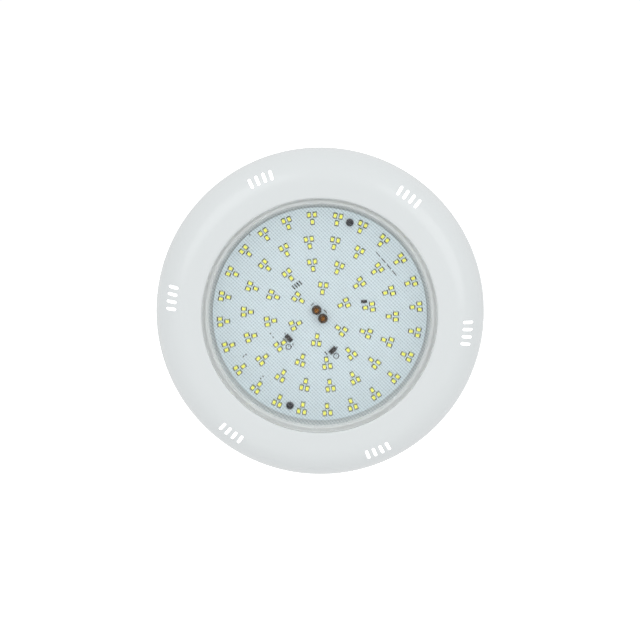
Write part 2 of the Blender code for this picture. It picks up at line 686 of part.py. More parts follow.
def make_face_ring(lamp, material):
    """A thin domed shell with a flat face, an inner sleeve and water slots in six groups."""
    underside = RING_FACE - RING_SHELL
    inside = shoulder(RING_RADIUS - RING_SHELL, underside, RING_FLAT_END + RING_SHELL)
    profile = ring_outer_curve() + inside[::-1]
    profile += [(SLEEVE_OUTER_RADIUS, underside - 0.1), (SLEEVE_OUTER_RADIUS, SLEEVE_REAR),
                (SLEEVE_INNER_RADIUS, SLEEVE_REAR), (SLEEVE_INNER_RADIUS, underside),
                (RING_INNER_RADIUS + RING_SHELL + 0.6, underside),
                (RING_INNER_RADIUS + RING_SHELL, RING_LIP_REAR)]
    bm = bmesh.new()
    turned(bm, profile)
    ring = make_object("face_ring", bm, lamp, material)
    combine(ring, make_slots_and_notches(lamp), "DIFFERENCE")


def make_slots_and_notches(lamp):
    """The water slots, and the notches in the sleeve that the lamp's keys sit in."""
    bm = bmesh.new()
    for group in range(SLOT_GROUPS):
        for offset in SLOT_ANGLES:
            angle = 360.0 * group / SLOT_GROUPS + offset
            outline = stadium(SLOT_LENGTH, SLOT_WIDTH, polar(SLOT_RADIUS, angle), angle)
            prism(bm, outline, 30.0, RING_FACE + 2.0)
    inner, outer = SLEEVE_INNER_RADIUS - OVERLAP, SLEEVE_OUTER_RADIUS + OVERLAP
    notch = box_profile(inner, outer, SLEEVE_REAR - OVERLAP, FLANGE_FRONT + 0.6)
    for angle in KEY_ANGLES:
        sector(bm, notch, angle - KEY_NOTCH_HALF_ANGLE, angle + KEY_NOTCH_HALF_ANGLE, steps=3)
    return make_object("ring_cutter", bm, lamp)


# ---------------------------------------------------------------- assembly

def main():
    for obj in list(bpy.data.objects):
        bpy.data.objects.remove(obj, do_unlink=True)

    white_abs = make_material("white_abs", (0.85, 0.87, 0.87), 0.25)
    bracket_abs = make_material("bracket_abs", (0.80, 0.82, 0.82), 0.45)
    clear_pc = make_material("clear_polycarbonate", (0.86, 0.91, 0.93), 0.08)
    board_white = make_material("board_white", (0.76, 0.83, 0.87), 0.40)
    silicone = make_material("silicone", (0.70, 0.72, 0.72), 0.60)
    pad_grey = make_material("thermal_pad_grey", (0.45, 0.50, 0.56), 0.80)
    steel = make_material("stainless_steel", (0.62, 0.62, 0.61), 0.30, 1.0)
    brass = make_material("brass", (0.72, 0.53, 0.25), 0.30, 1.0)
    epoxy = make_material("black_epoxy", (0.03, 0.03, 0.035), 0.45)
    nylon = make_material("gland_nylon", (0.60, 0.62, 0.62), 0.40)
    insulator = make_material("insulator", (0.55, 0.52, 0.45), 0.50)
    rubber = make_material("black_rubber", (0.04, 0.04, 0.04), 0.70)

    lamp = make_frame("lamp_frame")
    gland = make_frame("gland_frame", lamp, (0.0, 0.0, GLAND_DEPTH))

    make_wall_bracket(lamp, bracket_abs)
    make_lamp_housing(lamp, gland, white_abs)
    make_thermal_pad(lamp, pad_grey)
    make_led_board(lamp, board_white)
    make_board_screws(lamp, steel)
    make_board_part(lamp, "rectifier_1", RECTIFIER_SIZE, (-24.6, -24.3), -40.0, epoxy)
    make_board_part(lamp, "rectifier_2", RECTIFIER_SIZE, (15.0, -30.4), 52.0, epoxy)
    make_board_part(lamp, "thermal_fuse", FUSE_SIZE, (37.2, 15.8), 10.0, epoxy)
    make_terminal_block(lamp, insulator)
    make_terminals(lamp, brass, steel)
    make_lens_seal(lamp, silicone)
    make_lens(lamp, clear_pc)
    make_lens_screws(lamp, steel)
    make_gland_body(gland, nylon)
    make_gland_small_parts(gland, rubber, nylon)
    make_gland_cap(gland, nylon)
    make_face_ring(lamp, white_abs)


main()
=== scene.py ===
"""Looks of the surface-mounted LED pool light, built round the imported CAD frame.

Shapes are drawn in the lamp's own space, in millimetres: x runs across, y up, and z is the distance
from the wall. LAMP turns that space into the world. GLAND does the same for the cable gland, whose
z axis runs down and out of the hub. Angles are degrees, anticlockwise from the right as seen from
the front. Outer radii, rears and fronts come from the frame's boxes.
"""

import math

import bmesh
import bpy
from mathutils import Matrix, Vector


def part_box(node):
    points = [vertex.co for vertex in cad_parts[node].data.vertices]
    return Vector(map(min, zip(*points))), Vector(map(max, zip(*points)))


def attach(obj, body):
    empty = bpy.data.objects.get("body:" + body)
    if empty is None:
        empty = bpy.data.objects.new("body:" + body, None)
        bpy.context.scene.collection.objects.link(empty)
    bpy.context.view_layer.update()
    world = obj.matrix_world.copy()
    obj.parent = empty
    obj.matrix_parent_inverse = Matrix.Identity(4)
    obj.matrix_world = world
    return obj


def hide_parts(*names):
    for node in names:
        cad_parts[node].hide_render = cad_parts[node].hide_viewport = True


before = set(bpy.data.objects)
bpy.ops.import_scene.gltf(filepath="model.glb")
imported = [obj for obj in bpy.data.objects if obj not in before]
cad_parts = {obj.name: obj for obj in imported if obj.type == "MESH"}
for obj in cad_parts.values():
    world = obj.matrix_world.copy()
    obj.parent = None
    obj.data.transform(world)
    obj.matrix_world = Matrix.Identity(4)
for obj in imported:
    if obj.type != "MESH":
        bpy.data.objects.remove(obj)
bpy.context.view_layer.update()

MM = 0.001
GAP = 0.3  # clearance between pieces that touch


def extent(node):
    """Half width, distance of the rear and distance of the front from the wall, in millimetres."""
    low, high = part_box(node)
    return (high.x - low.x) / 2.0 / MM, -high.y / MM, -low.y / MM


def middle(node):
    """The (x, y) middle of a node in the lamp's space, in millimetres."""
    low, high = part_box(node)
    return ((low.x + high.x) / 2.0 / MM, (low.z + high.z) / 2.0 / MM)


def along_gland(node):
    """Where a gland piece starts and ends, in millimetres down from the lamp's axis."""
    low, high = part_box(node)
    return -high.z / MM, -low.z / MM


def polar(radius, angle):
    """The point (x, y) at a radius and an angle in degrees."""
    return (radius * math.cos(math.radians(angle)), radius * math.sin(math.radians(angle)))


RING_RADIUS, RING_REAR, RING_FRONT = extent("face_ring")
LENS_RADIUS, LENS_REAR, LENS_FRONT = extent("lens")
BOARD_RADIUS, BOARD_REAR, LED_FRONT = extent("led_board")
CLAW_TIP, _, CLAW_FRONT = extent("wall_bracket")  # the plate's radius: the CAD's claws reach 1.5 further
HUB_REAR, FLANGE_FRONT = extent("lamp_housing")[1:]
PAD_RADIUS, PAD_REAR, PAD_FRONT = extent("thermal_pad")
SEAL_RADIUS, SEAL_REAR, SEAL_FRONT = extent("lens_seal")
BLOCK_HALF_WIDTH, BLOCK_REAR, PILLAR_FRONT = extent("terminal_block")

LAMP = Matrix.Rotation(math.radians(90.0), 4, "X") @ Matrix.Scale(MM, 4)
gland_low, gland_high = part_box("gland_body")
GLAND_DEPTH = -(gland_low.y + gland_high.y) / 2.0 / MM
GLAND = LAMP @ Matrix.Translation((0.0, 0.0, GLAND_DEPTH)) @ Matrix.Rotation(math.radians(90.0), 4, "X")

# Face ring
RING_INNER = 103.0  # radius of the opening
RING_LIP_REAR = 47.0
RING_SHELL = 2.8
FLAT_END = 115.0  # where the flat face turns into the rounded shoulder
SHOULDER_POWER = 2.3  # exponent of the shoulder's superellipse
SLEEVE = (114.3, 116.5, 36.0)  # inner radius, outer radius, rear edge
SLOT_RADIUS, SLOT_LENGTH, SLOT_WIDTH, SLOT_EDGE = 130.0, 9.0, 3.0, 0.45
SLOT_GROUPS, SLOT_CELLS = 6, (-5.6, -2.875, 0.0, 2.875, 5.6)
SLOT_BAND = [123.3 + 13.4 * i / 12 for i in range(13)]  # radii of the rows round the slots
KEY_ANGLES, KEY_NOTCH_FRONT = (30.0, 150.0, 270.0), 40.6

# Lens
PANE_RADIUS, PANE_REAR, PANE_INNER = 102.0, 44.5, 97.0
LENS_FLANGE_FRONT = 44.8
LENS_SCREWS, LENS_SCREW_CIRCLE, LENS_SCREW_HOLE = 8, 108.0, 2.3
LENS_BAND = [104.9 + 6.2 * i / 6 for i in range(7)]  # radii of the rows round the screw holes
HOLE_HALF_COLUMNS = 11  # of the cells round a screw hole
RIB_PITCH, RIB_HEIGHT = 1.82, 0.018
RIB_ANGLE = 51.75  # direction across the ribs
LENS_COLUMNS = 2400

# LED board
BOARD_FRONT = 34.9
LED_RINGS = ((6, 23.9, 30.0), (12, 44.6, 15.0), (18, 64.7, 5.0), (24, 85.7, 11.25))  # count, radius, start
LED_CLUSTER = ((-4.2, 0.0), (2.1, 2.6), (2.1, -2.6))  # outward and sideways from the cluster's middle
LED_LENGTH, LED_WIDTH = 3.5, 2.8
RECTIFIER_SIZE, FUSE_SIZE = (5.2, 4.2), (3.2, 2.8)
BOARD_SCREW_HOLE, PAD_SCREW_HOLE = 1.8, 2.4
TERMINAL_NUT = 7.0  # across flats

# Screws: head radius, head height, shank radius, recess depth
BOARD_SCREW, CLAMP_SCREW, LENS_SCREW = (3.4, 2.0, 1.5, 1.1), (2.6, 1.8, 1.6, 0.9), (3.8, 1.6, 1.9, 1.0)

# Wall bracket
PLATE_RADIUS, PLATE_THICK = 80.0, 3.0
WINDOW_RADII, WINDOW_HALF_ANGLE = (44.0, 66.0), 25.0
WALL_SLOT_SIZE = (12.0, 5.5)
WALL_SLOTS = ((polar(64.0, 30.0), 90.0), (polar(64.0, 150.0), 90.0), ((0.0, -72.5), 0.0))  # middle, angle
LOCK_ANGLES = (90.0, 210.0, 330.0)
CLAW_HALF_ANGLE, CLAW_RADII, CLAW_LIP_REAR = 9.0, (70.0, 74.0), 13.0
STOP_ANGLE, STOP_REAR = 3.5, 8.0
PLATE_MARK = (2.5, 30.0)  # ejector marks: radius of a mark, and of their circle

# Lamp housing
HUB_RADIUS, WALL_THICK = 40.0, 3.0
FLOOR_REAR, FLOOR_FRONT = 29.0, 32.0
WELL_RADII = (97.5, 101.0)
FLANGE_RADIUS, FLANGE_REAR = 114.0, 37.0
HOOK_HALF_ANGLE, HOOK_RADII = 8.5, (76.5, 82.5, 85.5)  # lip's edge, wall's inner side, wall's outer side
HOOK_LIP = (9.3, 12.7)
KEY_HALF_ANGLE, KEY_RADIUS = 4.0, 116.2
HOUSING_RIB_REAR, HOUSING_RIB_WIDTH = 26.0, 2.0
BOARD_BOSS, LENS_BOSS = (4.2, 24.0), (4.0, 30.0)  # radius, rear end
GLAND_BOSS = (26.0, 33.0, 42.0, 5.0)  # width, inner and outer face, rear side
BOARD_PILOT, LENS_PILOT = 1.8, 2.2  # radii of the screws' holes
EJECTOR_MARK = (3.0, 62.0)  # radius of a mark, and of their circle

# Inside the lamp
SEAL_INNER, PAD_INNER = 99.5, 44.0
BLOCK_DEPTH, BLOCK_BASE_FRONT, PILLAR_RADIUS = 18.0, 20.0, 9.2
CLAMP_HOLE, CORE_PORT, CORE_PORT_PLACE = 1.9, (7.0, 4.6, 0.8), (14.0, -8.0)

# Cable gland
GLAND_HEX, GLAND_THREAD_RADIUS, GLAND_SLEEVE_RADIUS = 19.0, 8.0, 7.6
GLAND_HEX_PLACES = (43.8, 49.3)
CABLE_BORE, INSERT_SEAT = 4.6, 6.6
CAP_HEX_END, CAP_RADIUS, CAP_BORE = 59.0, 9.2, 7.9


def in_scene(name, data):
    """An object of some data, linked to the scene."""
    obj = bpy.data.objects.new(name, data)
    bpy.context.scene.collection.objects.link(obj)
    return obj


# ---- outlines

def placed(outline, centre=(0.0, 0.0), angle=0.0):
    """Turn an outline by an angle about its own middle, then move it to a centre."""
    turn = Matrix.Rotation(math.radians(angle), 2)
    moved = [turn @ Vector(point) + Vector(centre) for point in outline]
    return [(point.x, point.y) for point in moved]


def circle(radius, centre=(0.0, 0.0), sides=48):
    return placed([polar(radius, 360.0 * i / sides) for i in range(sides)], centre)


def six_places(radius):
    return [polar(radius, angle) for angle in range(0, 360, 60)]


def hexagon(across_flats):
    return circle(across_flats / math.sqrt(3.0), sides=6)


def rectangle(length, width, centre=(0.0, 0.0), angle=0.0):
    x, y = length / 2.0, width / 2.0
    return placed([(-x, -y), (x, -y), (x, y), (-x, y)], centre, angle)


def rounded(length, width, corner, centre=(0.0, 0.0), angle=0.0, sides=3):
    """A rectangle with rounded corners; with the width as twice the corner it is a stadium."""
    points = []
    for turn, x, y in ((0, 1, 1), (90, -1, 1), (180, -1, -1), (270, 1, -1)):
        for i in range(sides + 1):
            dx, dy = polar(corner, turn + 90.0 * i / sides)
            points.append((x * (length / 2.0 - corner) + dx, y * (width / 2.0 - corner) + dy))
    return placed(points, centre, angle)


def arc(centre, radii, start, end, steps=3):
    """Points on an arc in a (radius, z) outline; radii is one radius, or two for an ellipse."""
    across, along = radii if isinstance(radii, tuple) else (radii, radii)
    angles = [math.radians(start + (end - start) * i / steps) for i in range(steps + 1)]
    return [(centre[0] + across * math.cos(a), centre[1] + along * math.sin(a)) for a in angles]


def band(inner, outer, rear, front, edge=0.3):
    """The outline of a flat ring with rounded edges."""
    corners = (((outer - edge, rear + edge), -90.0), ((outer - edge, front - edge), 0.0),
               ((inner + edge, front - edge), 90.0), ((inner + edge, rear + edge), 180.0))
    points = []
    for centre, start in corners:
        points += arc(centre, edge, start, start + 90.0)
    return points


# ---- solids in a bmesh

def join_rows(bm, rows):
    """Fill the bands between closed rows of vertices with faces."""
    for row, following in zip(rows, rows[1:]):
        for i in range(len(row)):
            corners = list(dict.fromkeys((row[i - 1], row[i], following[i], following[i - 1])))
            if len(corners) > 2:
                bm.faces.new(corners)


def lofted(bm, levels):
    """A closed solid through (outline, z) levels whose outlines have the same number of points."""
    rows = [[bm.verts.new((x, y, z)) for x, y in outline] for outline, z in levels]
    join_rows(bm, rows)
    bm.faces.new(rows[0])
    bm.faces.new(rows[-1])


def prism(bm, outline, low, high):
    lofted(bm, [(outline, low), (outline, high)])


def pins(bm, centres, radius, low, high, sides=48):
    """Round pins, or the drills for round holes."""
    for centre in centres:
        prism(bm, circle(radius, centre, sides), low, high)


def turned(bm, profile, columns=180, centre=(0.0, 0.0)):
    """Turn a (radius, z) outline; it closes on itself unless both its ends are on the axis."""
    rows = []
    for radius, z in profile:
        if radius == 0.0:
            rows.append([bm.verts.new((*centre, z))] * columns)
        else:
            rows.append([bm.verts.new((x, y, z)) for x, y in circle(radius, centre, columns)])
    if profile[0][0] > 0.0:
        rows.append(rows[0])
    join_rows(bm, rows)


def sector(bm, profile, start, end, steps=12):
    """A closed block: a (radius, z) outline swept about the axis between two angles."""
    rows = []
    for i in range(steps + 1):
        angle = start + (end - start) * i / steps
        rows.append([bm.verts.new((*polar(radius, angle), z)) for radius, z in profile])
    join_rows(bm, rows)
    bm.faces.new(rows[0])
    bm.faces.new(rows[-1])


def box_profile(inner, outer, rear, front):
    return [(inner, rear), (outer, rear), (outer, front), (inner, front)]


def alone(shape, *details):
    """One shape in a bmesh of its own."""
    bm = bmesh.new()
    shape(bm, *details)
    return bm


def combined(bm, tool, operation):
    """The exact union, difference or intersection of two bmeshes, as a new one."""
    objects = []
    for source in (bm, tool):
        bmesh.ops.recalc_face_normals(source, faces=source.faces)
        mesh = bpy.data.meshes.new("boolean")
        source.to_mesh(mesh)
        source.free()
        objects.append(in_scene("boolean", mesh))
    modifier = objects[0].modifiers.new("boolean", "BOOLEAN")
    modifier.operation = operation
    modifier.object = objects[1]
    bpy.context.view_layer.update()
    result = bmesh.new()
    result.from_mesh(objects[0].evaluated_get(bpy.context.evaluated_depsgraph_get()).data)
    for obj in objects:
        mesh = obj.data
        bpy.data.objects.remove(obj)
        bpy.data.meshes.remove(mesh)
    return result


def softened(bm, width, sharp=30.0):
    """Dissolve the flat seams that the Booleans leave, and round the sharp edges.

    The rounding can stand out from the shape by about 0.1 mm.
    """
    bmesh.ops.remove_doubles(bm, verts=bm.verts, dist=0.005)
    bmesh.ops.dissolve_limit(bm, angle_limit=math.radians(0.3), verts=bm.verts, edges=bm.edges)
    limit = math.radians(sharp)
    edges = [edge for edge in bm.edges if len(edge.link_faces) == 2 and edge.calc_face_angle() > limit]
    bmesh.ops.bevel(bm, geom=edges, offset=width, segments=2, profile=0.5, affect="EDGES",
                    clamp_overlap=False)
    return bm


def perforated(bm, profile, angles, radii, front, rear, holes, notches=(), closed=True):
    """Turn an outline about the z axis, with holes right through its band of radii.

    front and rear give the surfaces' z at a radius. Each hole is (first column, last column, angle,
    radius, reach, half width, edge): a slot along the radius, or a round hole with a reach of 0.
    Its cells follow its outline, so the surface stays smooth up to the rounded edge. Each notch is
    (first column, last column, first row, last row): cells left out at the outline's rear.
    """
    count = len(angles)
    front_rows = [profile.index((radius, front(radius))) for radius in radii]
    rear_rows = [profile.index((radius, rear(radius))) for radius in radii]
    blocks = [(a, b, rows[0], rows[-1]) for a, b, *_ in holes for rows in (front_rows, rear_rows[::-1])]
    blocks += notches
    left_out = {(i, j % count) for a, b, low, high in blocks for i in range(low, high) for j in range(a, b)}
    inside = {(i, j % count) for a, b, low, high in blocks
              for i in range(low + 1, high) for j in range(a + 1, b)}

    grid = []
    for i, (radius, z) in enumerate(profile):
        if radius == 0.0:
            grid.append([bm.verts.new((0.0, 0.0, z))] * count)
            continue
        grid.append([None if (i, j) in inside else bm.verts.new((*polar(radius, angles[j]), z))
                     for j in range(count)])
    for i in range(len(profile) if closed else len(profile) - 1):
        row, following = grid[i], grid[(i + 1) % len(profile)]
        for j in range(count):
            if (i, j) not in left_out:
                k = (j + 1) % count
                corners = list(dict.fromkeys((row[j], row[k], following[k], following[j])))
                bm.faces.new(corners)

    last_row = len(radii) - 1
    for first, last, angle, radius, reach, half_width, edge in holes:
        path = [(0, j) for j in range(first, last + 1)]
        path += [(i, last) for i in range(1, last_row + 1)]
        path += [(last_row, j) for j in range(last - 1, first - 1, -1)]
        path += [(i, first) for i in range(last_row - 1, 0, -1)]
        turn = Matrix.Rotation(math.radians(-angle), 2)
        centre = Vector((radius, 0.0))
        starts = [turn @ Vector(polar(radii[i], angles[j % count])) - centre for i, j in path]
        anchors = [Vector((max(-reach, min(reach, start.x)), 0.0)) for start in starts]
        directions = [(start - anchor).normalized() for start, anchor in zip(starts, anchors)]

        def loop(surface, offset, share=1.0, drop=0.0):
            verts = []
            for start, anchor, direction in zip(starts, anchors, directions):
                point = start.lerp(anchor + direction * (half_width + offset), share) + centre
                x, y = turn.transposed() @ point
                verts.append(bm.verts.new((x, y, surface(point.length) + drop)))
            return verts

        loops = [[grid[front_rows[i]][j % count] for i, j in path]]
        loops += [loop(front, edge, share) for share in (0.35, 0.7)]
        for t in (0.0, 22.5, 45.0, 67.5, 90.0):
            cosine, sine = polar(1.0, t)
            loops.append(loop(front, edge * (1.0 - sine), drop=-edge * (1.0 - cosine)))
        for t in (90.0, 45.0, 0.0):
            cosine, sine = polar(1.0, t)
            loops.append(loop(rear, edge * (1.0 - sine) / 2.0, drop=edge * (1.0 - cosine) / 2.0))
        loops += [loop(rear, edge / 2.0, share) for share in (0.7, 0.35)]
        loops.append([grid[rear_rows[i]][j % count] for i, j in path])
        join_rows(bm, loops)

    for first, last, low, high in notches:
        for j in range(first, last):
            a, b = j % count, (j + 1) % count
            bm.faces.new((grid[low][a], grid[low][b], grid[high][b], grid[high][a]))
        for j in (first % count, last % count):
            bm.faces.new([grid[i][j] for i in range(low, high + 1)])
    return grid


# ---- pieces

def piece(name, bm, body, finish, stands_for=(), space=LAMP, sharp=35.0):
    """Make a piece of a bmesh, shade it smooth up to a sharp angle and tie it to the frame."""
    bmesh.ops.recalc_face_normals(bm, faces=bm.faces)
    bm.transform(space)
    mesh = bpy.data.meshes.new(name)
    bm.to_mesh(mesh)
    bm.free()
    mesh.shade_smooth()
    mesh.set_sharp_from_angle(angle=math.radians(sharp))
    mesh.materials.append(MATERIALS[finish])
    obj = in_scene(name, mesh)
    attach(obj, body)
    if stands_for:
        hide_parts(*stands_for)
    return obj


# ---- materials

def node(tree, kind, inputs=None, **settings):
    """Add a shader node; an input is a value or another node's output."""
    made = tree.nodes.new("ShaderNode" + kind)
    for name, value in settings.items():
        setattr(made, name, value)
    for name, value in (inputs or {}).items():
        if isinstance(value, bpy.types.NodeSocket):
            tree.links.new(value, made.inputs[name])
        else:
            made.inputs[name].default_value = value
    return made


def noise(tree, scale, detail=3.0):
    """Noise in the piece's own metres; scale is in cycles a metre."""
    place = node(tree, "TexCoord").outputs["Object"]
    return node(tree, "TexNoise", {"Vector": place, "Scale": scale, "Detail": detail}).outputs["Fac"]


def spread(tree, value, low, high, source=(0.3, 0.7)):
    """Map a 0 to 1 pattern onto a range."""
    inputs = {"Value": value, "From Min": source[0], "From Max": source[1], "To Min": low, "To Max": high}
    return node(tree, "MapRange", inputs).outputs["Result"]


def ramp(tree, factor, stops):
    """A colour ramp through (position, colour) stops."""
    made = node(tree, "ValToRGB", {"Fac": factor})
    elements = made.color_ramp.elements
    while len(elements) < len(stops):
        elements.new(0.5)
    for element, (position, colour) in zip(elements, stops):
        element.position = position
        element.color = (*colour, 1.0)
    return made.outputs["Color"]


def tone(colour, share):
    return tuple(min(1.0, value * share) for value in colour)


def surface(name, colour, roughness, mottle=(14.0, 0.02), gloss=(60.0, 0.2), grain=(1200.0, 0.000004),
            constants=None):
    """A material with mottled colour, uneven gloss and a fine skin.

    mottle, gloss and grain are (cycles a metre, amount): a share of the colour, a share of the
    roughness, and a height in metres.
    """
    material = bpy.data.materials.new(name)
    material.use_nodes = True
    tree = material.node_tree
    shader = tree.nodes["Principled BSDF"]
    for socket, value in (constants or {}).items():
        shader.inputs[socket].default_value = value
    shades = [(0.3, tone(colour, 1.0 - mottle[1])), (0.7, tone(colour, 1.0 + mottle[1]))]
    tree.links.new(ramp(tree, noise(tree, mottle[0], 4.0), shades), shader.inputs["Base Color"])
    patches = noise(tree, gloss[0], 4.0)
    uneven = spread(tree, patches, roughness * (1.0 - gloss[1]), roughness * (1.0 + gloss[1]))
    tree.links.new(uneven, shader.inputs["Roughness"])
    height = noise(tree, grain[0], 2.0)
    relief = node(tree, "Bump", {"Height": height, "Distance": grain[1], "Strength": 1.0})
    tree.links.new(relief.outputs["Normal"], shader.inputs["Normal"])
    return material


def hatch(tree, direction, pitch):
    """A cosine of period pitch millimetres across a direction in the lamp's front plane."""
    across = Vector((math.cos(math.radians(direction)), 0.0, math.sin(math.radians(direction))))
    place = node(tree, "TexCoord").outputs["Object"]
    turns = across * (2.0 * math.pi / (pitch * MM))
    dot = node(tree, "VectorMath", {0: place, 1: turns}, operation="DOT_PRODUCT").outputs["Value"]
    return node(tree, "Math", {0: dot}, operation="COSINE").outputs["Value"]


def scaled(tree, value, factor):
    return node(tree, "Math", {0: value, 1: factor}, operation="MULTIPLY").outputs["Value"]


def added(tree, first, second):
    return node(tree, "Math", {0: first, 1: second}, operation="ADD").outputs["Value"]


def lens_material():
    """Clear polycarbonate with crossing rows of soft lines in its tint: painted light and shade.

    The ribs in the shape are too low to show from afar. The lines stand for how they look; their
    pitch and strength were chosen, and a real lens has no such tint.
    """
    material = bpy.data.materials.new("clear_polycarbonate")
    material.use_nodes = True
    tree = material.node_tree
    shader = tree.nodes["Principled BSDF"]
    constants = {"Transmission Weight": 1.0, "IOR": 1.585}
    for socket, value in constants.items():
        shader.inputs[socket].default_value = value
    # Painted light and shade: rows of bright and dark lines for what the ribs do to the light.
    rows = ((RIB_ANGLE, 1.25 * RIB_PITCH, 0.60), (RIB_ANGLE, 2.0 * RIB_PITCH, 0.06),
            (RIB_ANGLE - 90.0, 1.25 * RIB_PITCH, 0.30), (RIB_ANGLE - 90.0, 2.0 * RIB_PITCH, 0.04))
    total = None
    for direction, pitch, weight in rows:
        wave = scaled(tree, hatch(tree, direction, pitch), weight)
        total = wave if total is None else added(tree, total, wave)
    place = node(tree, "TexCoord").outputs["Object"]
    flat = node(tree, "VectorMath", {0: place, 1: (1.0, 0.0, 1.0)}, operation="MULTIPLY").outputs["Vector"]
    radius = node(tree, "VectorMath", {0: flat}, operation="LENGTH").outputs["Value"]
    rim = spread(tree, radius, 0.0, 1.0, ((PANE_INNER - 0.5) * MM, PANE_INNER * MM))
    total = node(tree, "Mix", {"Factor": rim, "A": total, "B": 0.7}).outputs["Result"]
    # The painted lines darken the tint and raise the alpha where they are dark.
    tint = ramp(tree, spread(tree, total, 0.0, 1.0, (-0.7, 0.7)),
                [(0.0, (0.44, 0.52, 0.56)), (1.0, (0.97, 1.0, 1.0))])
    tree.links.new(tint, shader.inputs["Base Color"])
    tree.links.new(spread(tree, total, 0.46, 0.10, (-1.0, 1.0)), shader.inputs["Alpha"])
    tree.links.new(spread(tree, noise(tree, 40.0), 0.0, 0.03), shader.inputs["Roughness"])
    return material


def floor_material():
    """White paint that the eye sees a little overlit, as a studio floor is."""
    material = surface("floor_paint", (0.93, 0.93, 0.93), 0.8, mottle=(1.5, 0.01), grain=(300.0, 0.00002))
    tree = material.node_tree
    shader = tree.nodes["Principled BSDF"]
    shader.inputs["Emission Color"].default_value = (1.0, 1.0, 1.0, 1.0)
    eye = node(tree, "LightPath").outputs["Is Camera Ray"]
    tree.links.new(scaled(tree, eye, 0.7), shader.inputs["Emission Strength"])
    return material


def metal(name, colour, roughness, mottle):
    """Bare metal whose gloss is uneven."""
    return surface(name, colour, roughness, mottle, (500.0, 0.35), (2500.0, 0.00001), {"Metallic": 1.0})


def make_materials():
    """Every material, by name."""
    return {
        "ring": surface("white_abs_gloss", (0.738, 0.768, 0.772), 0.22, mottle=(9.0, 0.008),
                        grain=(700.0, 0.000006), constants={"Coat Weight": 0.25, "Coat Roughness": 0.06}),
        "housing": surface("white_abs", (0.82, 0.845, 0.84), 0.34, mottle=(12.0, 0.015),
                           grain=(1500.0, 0.00001)),
        "bracket": surface("bracket_abs", (0.72, 0.74, 0.74), 0.46, mottle=(12.0, 0.02),
                           grain=(2600.0, 0.00002)),
        "lens": lens_material(),
        "board": surface("solder_mask", (0.85, 0.945, 0.98), 0.4, mottle=(90.0, 0.015), gloss=(400.0, 0.2),
                         grain=(2500.0, 0.000003)),
        "led_body": surface("led_white_ppa", (0.98, 0.98, 0.72), 0.4, mottle=(300.0, 0.02)),
        # The phosphor's emission is a painted glow: the LEDs are not switched on.
        "phosphor": surface("led_phosphor", (1.0, 0.95, 0.13), 0.35, mottle=(1200.0, 0.05),
                            grain=(6000.0, 0.000004),
                            constants={"Specular IOR Level": 0.3, "Emission Color": (1.0, 0.92, 0.12, 1.0),
                                       "Emission Strength": 0.34}),
        # Near-black solder: its dark is painted shade, for the dark the metal reflects and the shadow at the
        # leads and round each LED.
        "tin": surface("tinned_pad_painted_dark", (0.012, 0.013, 0.014), 0.6, mottle=(900.0, 0.3), gloss=(900.0, 0.3),
                       grain=(3000.0, 0.00001)),
        "ink": surface("board_ink", (0.01, 0.011, 0.012), 0.6, mottle=(900.0, 0.25)),
        "silicone": surface("seal_silicone", (0.90, 0.92, 0.91), 0.55, mottle=(60.0, 0.03),
                            grain=(1500.0, 0.00002)),
        "pad": surface("thermal_pad_silicone", (0.42, 0.47, 0.53), 0.8, mottle=(500.0, 0.08),
                       grain=(1500.0, 0.00005)),
        "steel": metal("stainless_steel", (0.55, 0.55, 0.54), 0.3, (200.0, 0.08)),
        # Both brasses: tarnish, plus a base colour darkened as painted shade for the dark surroundings the
        # metal reflects.
        "nut": metal("aged_brass_painted_dark", (0.15, 0.105, 0.075), 0.36, (500.0, 0.4)),
        "brass": metal("tarnished_brass_painted_dark", (0.42, 0.17, 0.04), 0.3, (500.0, 0.3)),
        "dark_screw": metal("blackened_screw", (0.10, 0.10, 0.105), 0.3, (400.0, 0.4)),
        "dark_steel": metal("blackened_washer", (0.03, 0.03, 0.03), 0.45, (500.0, 0.3)),
        "epoxy": surface("black_epoxy", (0.07, 0.06, 0.055), 0.42, mottle=(700.0, 0.9),
                         grain=(5000.0, 0.00001)),
        "nylon": surface("gland_nylon", (0.52, 0.54, 0.54), 0.42, mottle=(30.0, 0.03),
                         grain=(1800.0, 0.00002)),
        "insulator": surface("insulator", (0.52, 0.48, 0.40), 0.5, mottle=(60.0, 0.04),
                             grain=(2000.0, 0.00002)),
        "rubber": surface("black_rubber", (0.03, 0.03, 0.03), 0.65, mottle=(120.0, 0.2),
                          grain=(2500.0, 0.00002)),
        "floor": floor_material(),
    }


MATERIALS = make_materials()


# ---- face ring

def shoulder(radius, start, end, rear, front):
    """The z of a superellipse shoulder that starts flat at one radius and ends upright at another."""
    if radius <= start:
        return front
    share = (radius - start) / (end - start)
    return rear + (front - rear) * max(0.0, 1.0 - share ** SHOULDER_POWER) ** (1.0 / SHOULDER_POWER)


def ring_front(radius):
    return shoulder(radius, FLAT_END, RING_RADIUS, RING_REAR, RING_FRONT)


def ring_inside(radius):
    return shoulder(radius, FLAT_END + RING_SHELL, RING_RADIUS - RING_SHELL, RING_REAR,
                    RING_FRONT - RING_SHELL)


def shoulder_radii(begin, start, end, steps):
    """Radii from the band's edge towards the upright end, closer together where the curve is steep."""
    share = (begin - start) / (end - start)
    angle = math.acos(share ** (SHOULDER_POWER / 2.0))
    turns = [angle * (1.0 - i / steps) for i in range(1, steps)]
    return [start + (end - start) * math.cos(turn) ** (2.0 / SHOULDER_POWER) for turn in turns]


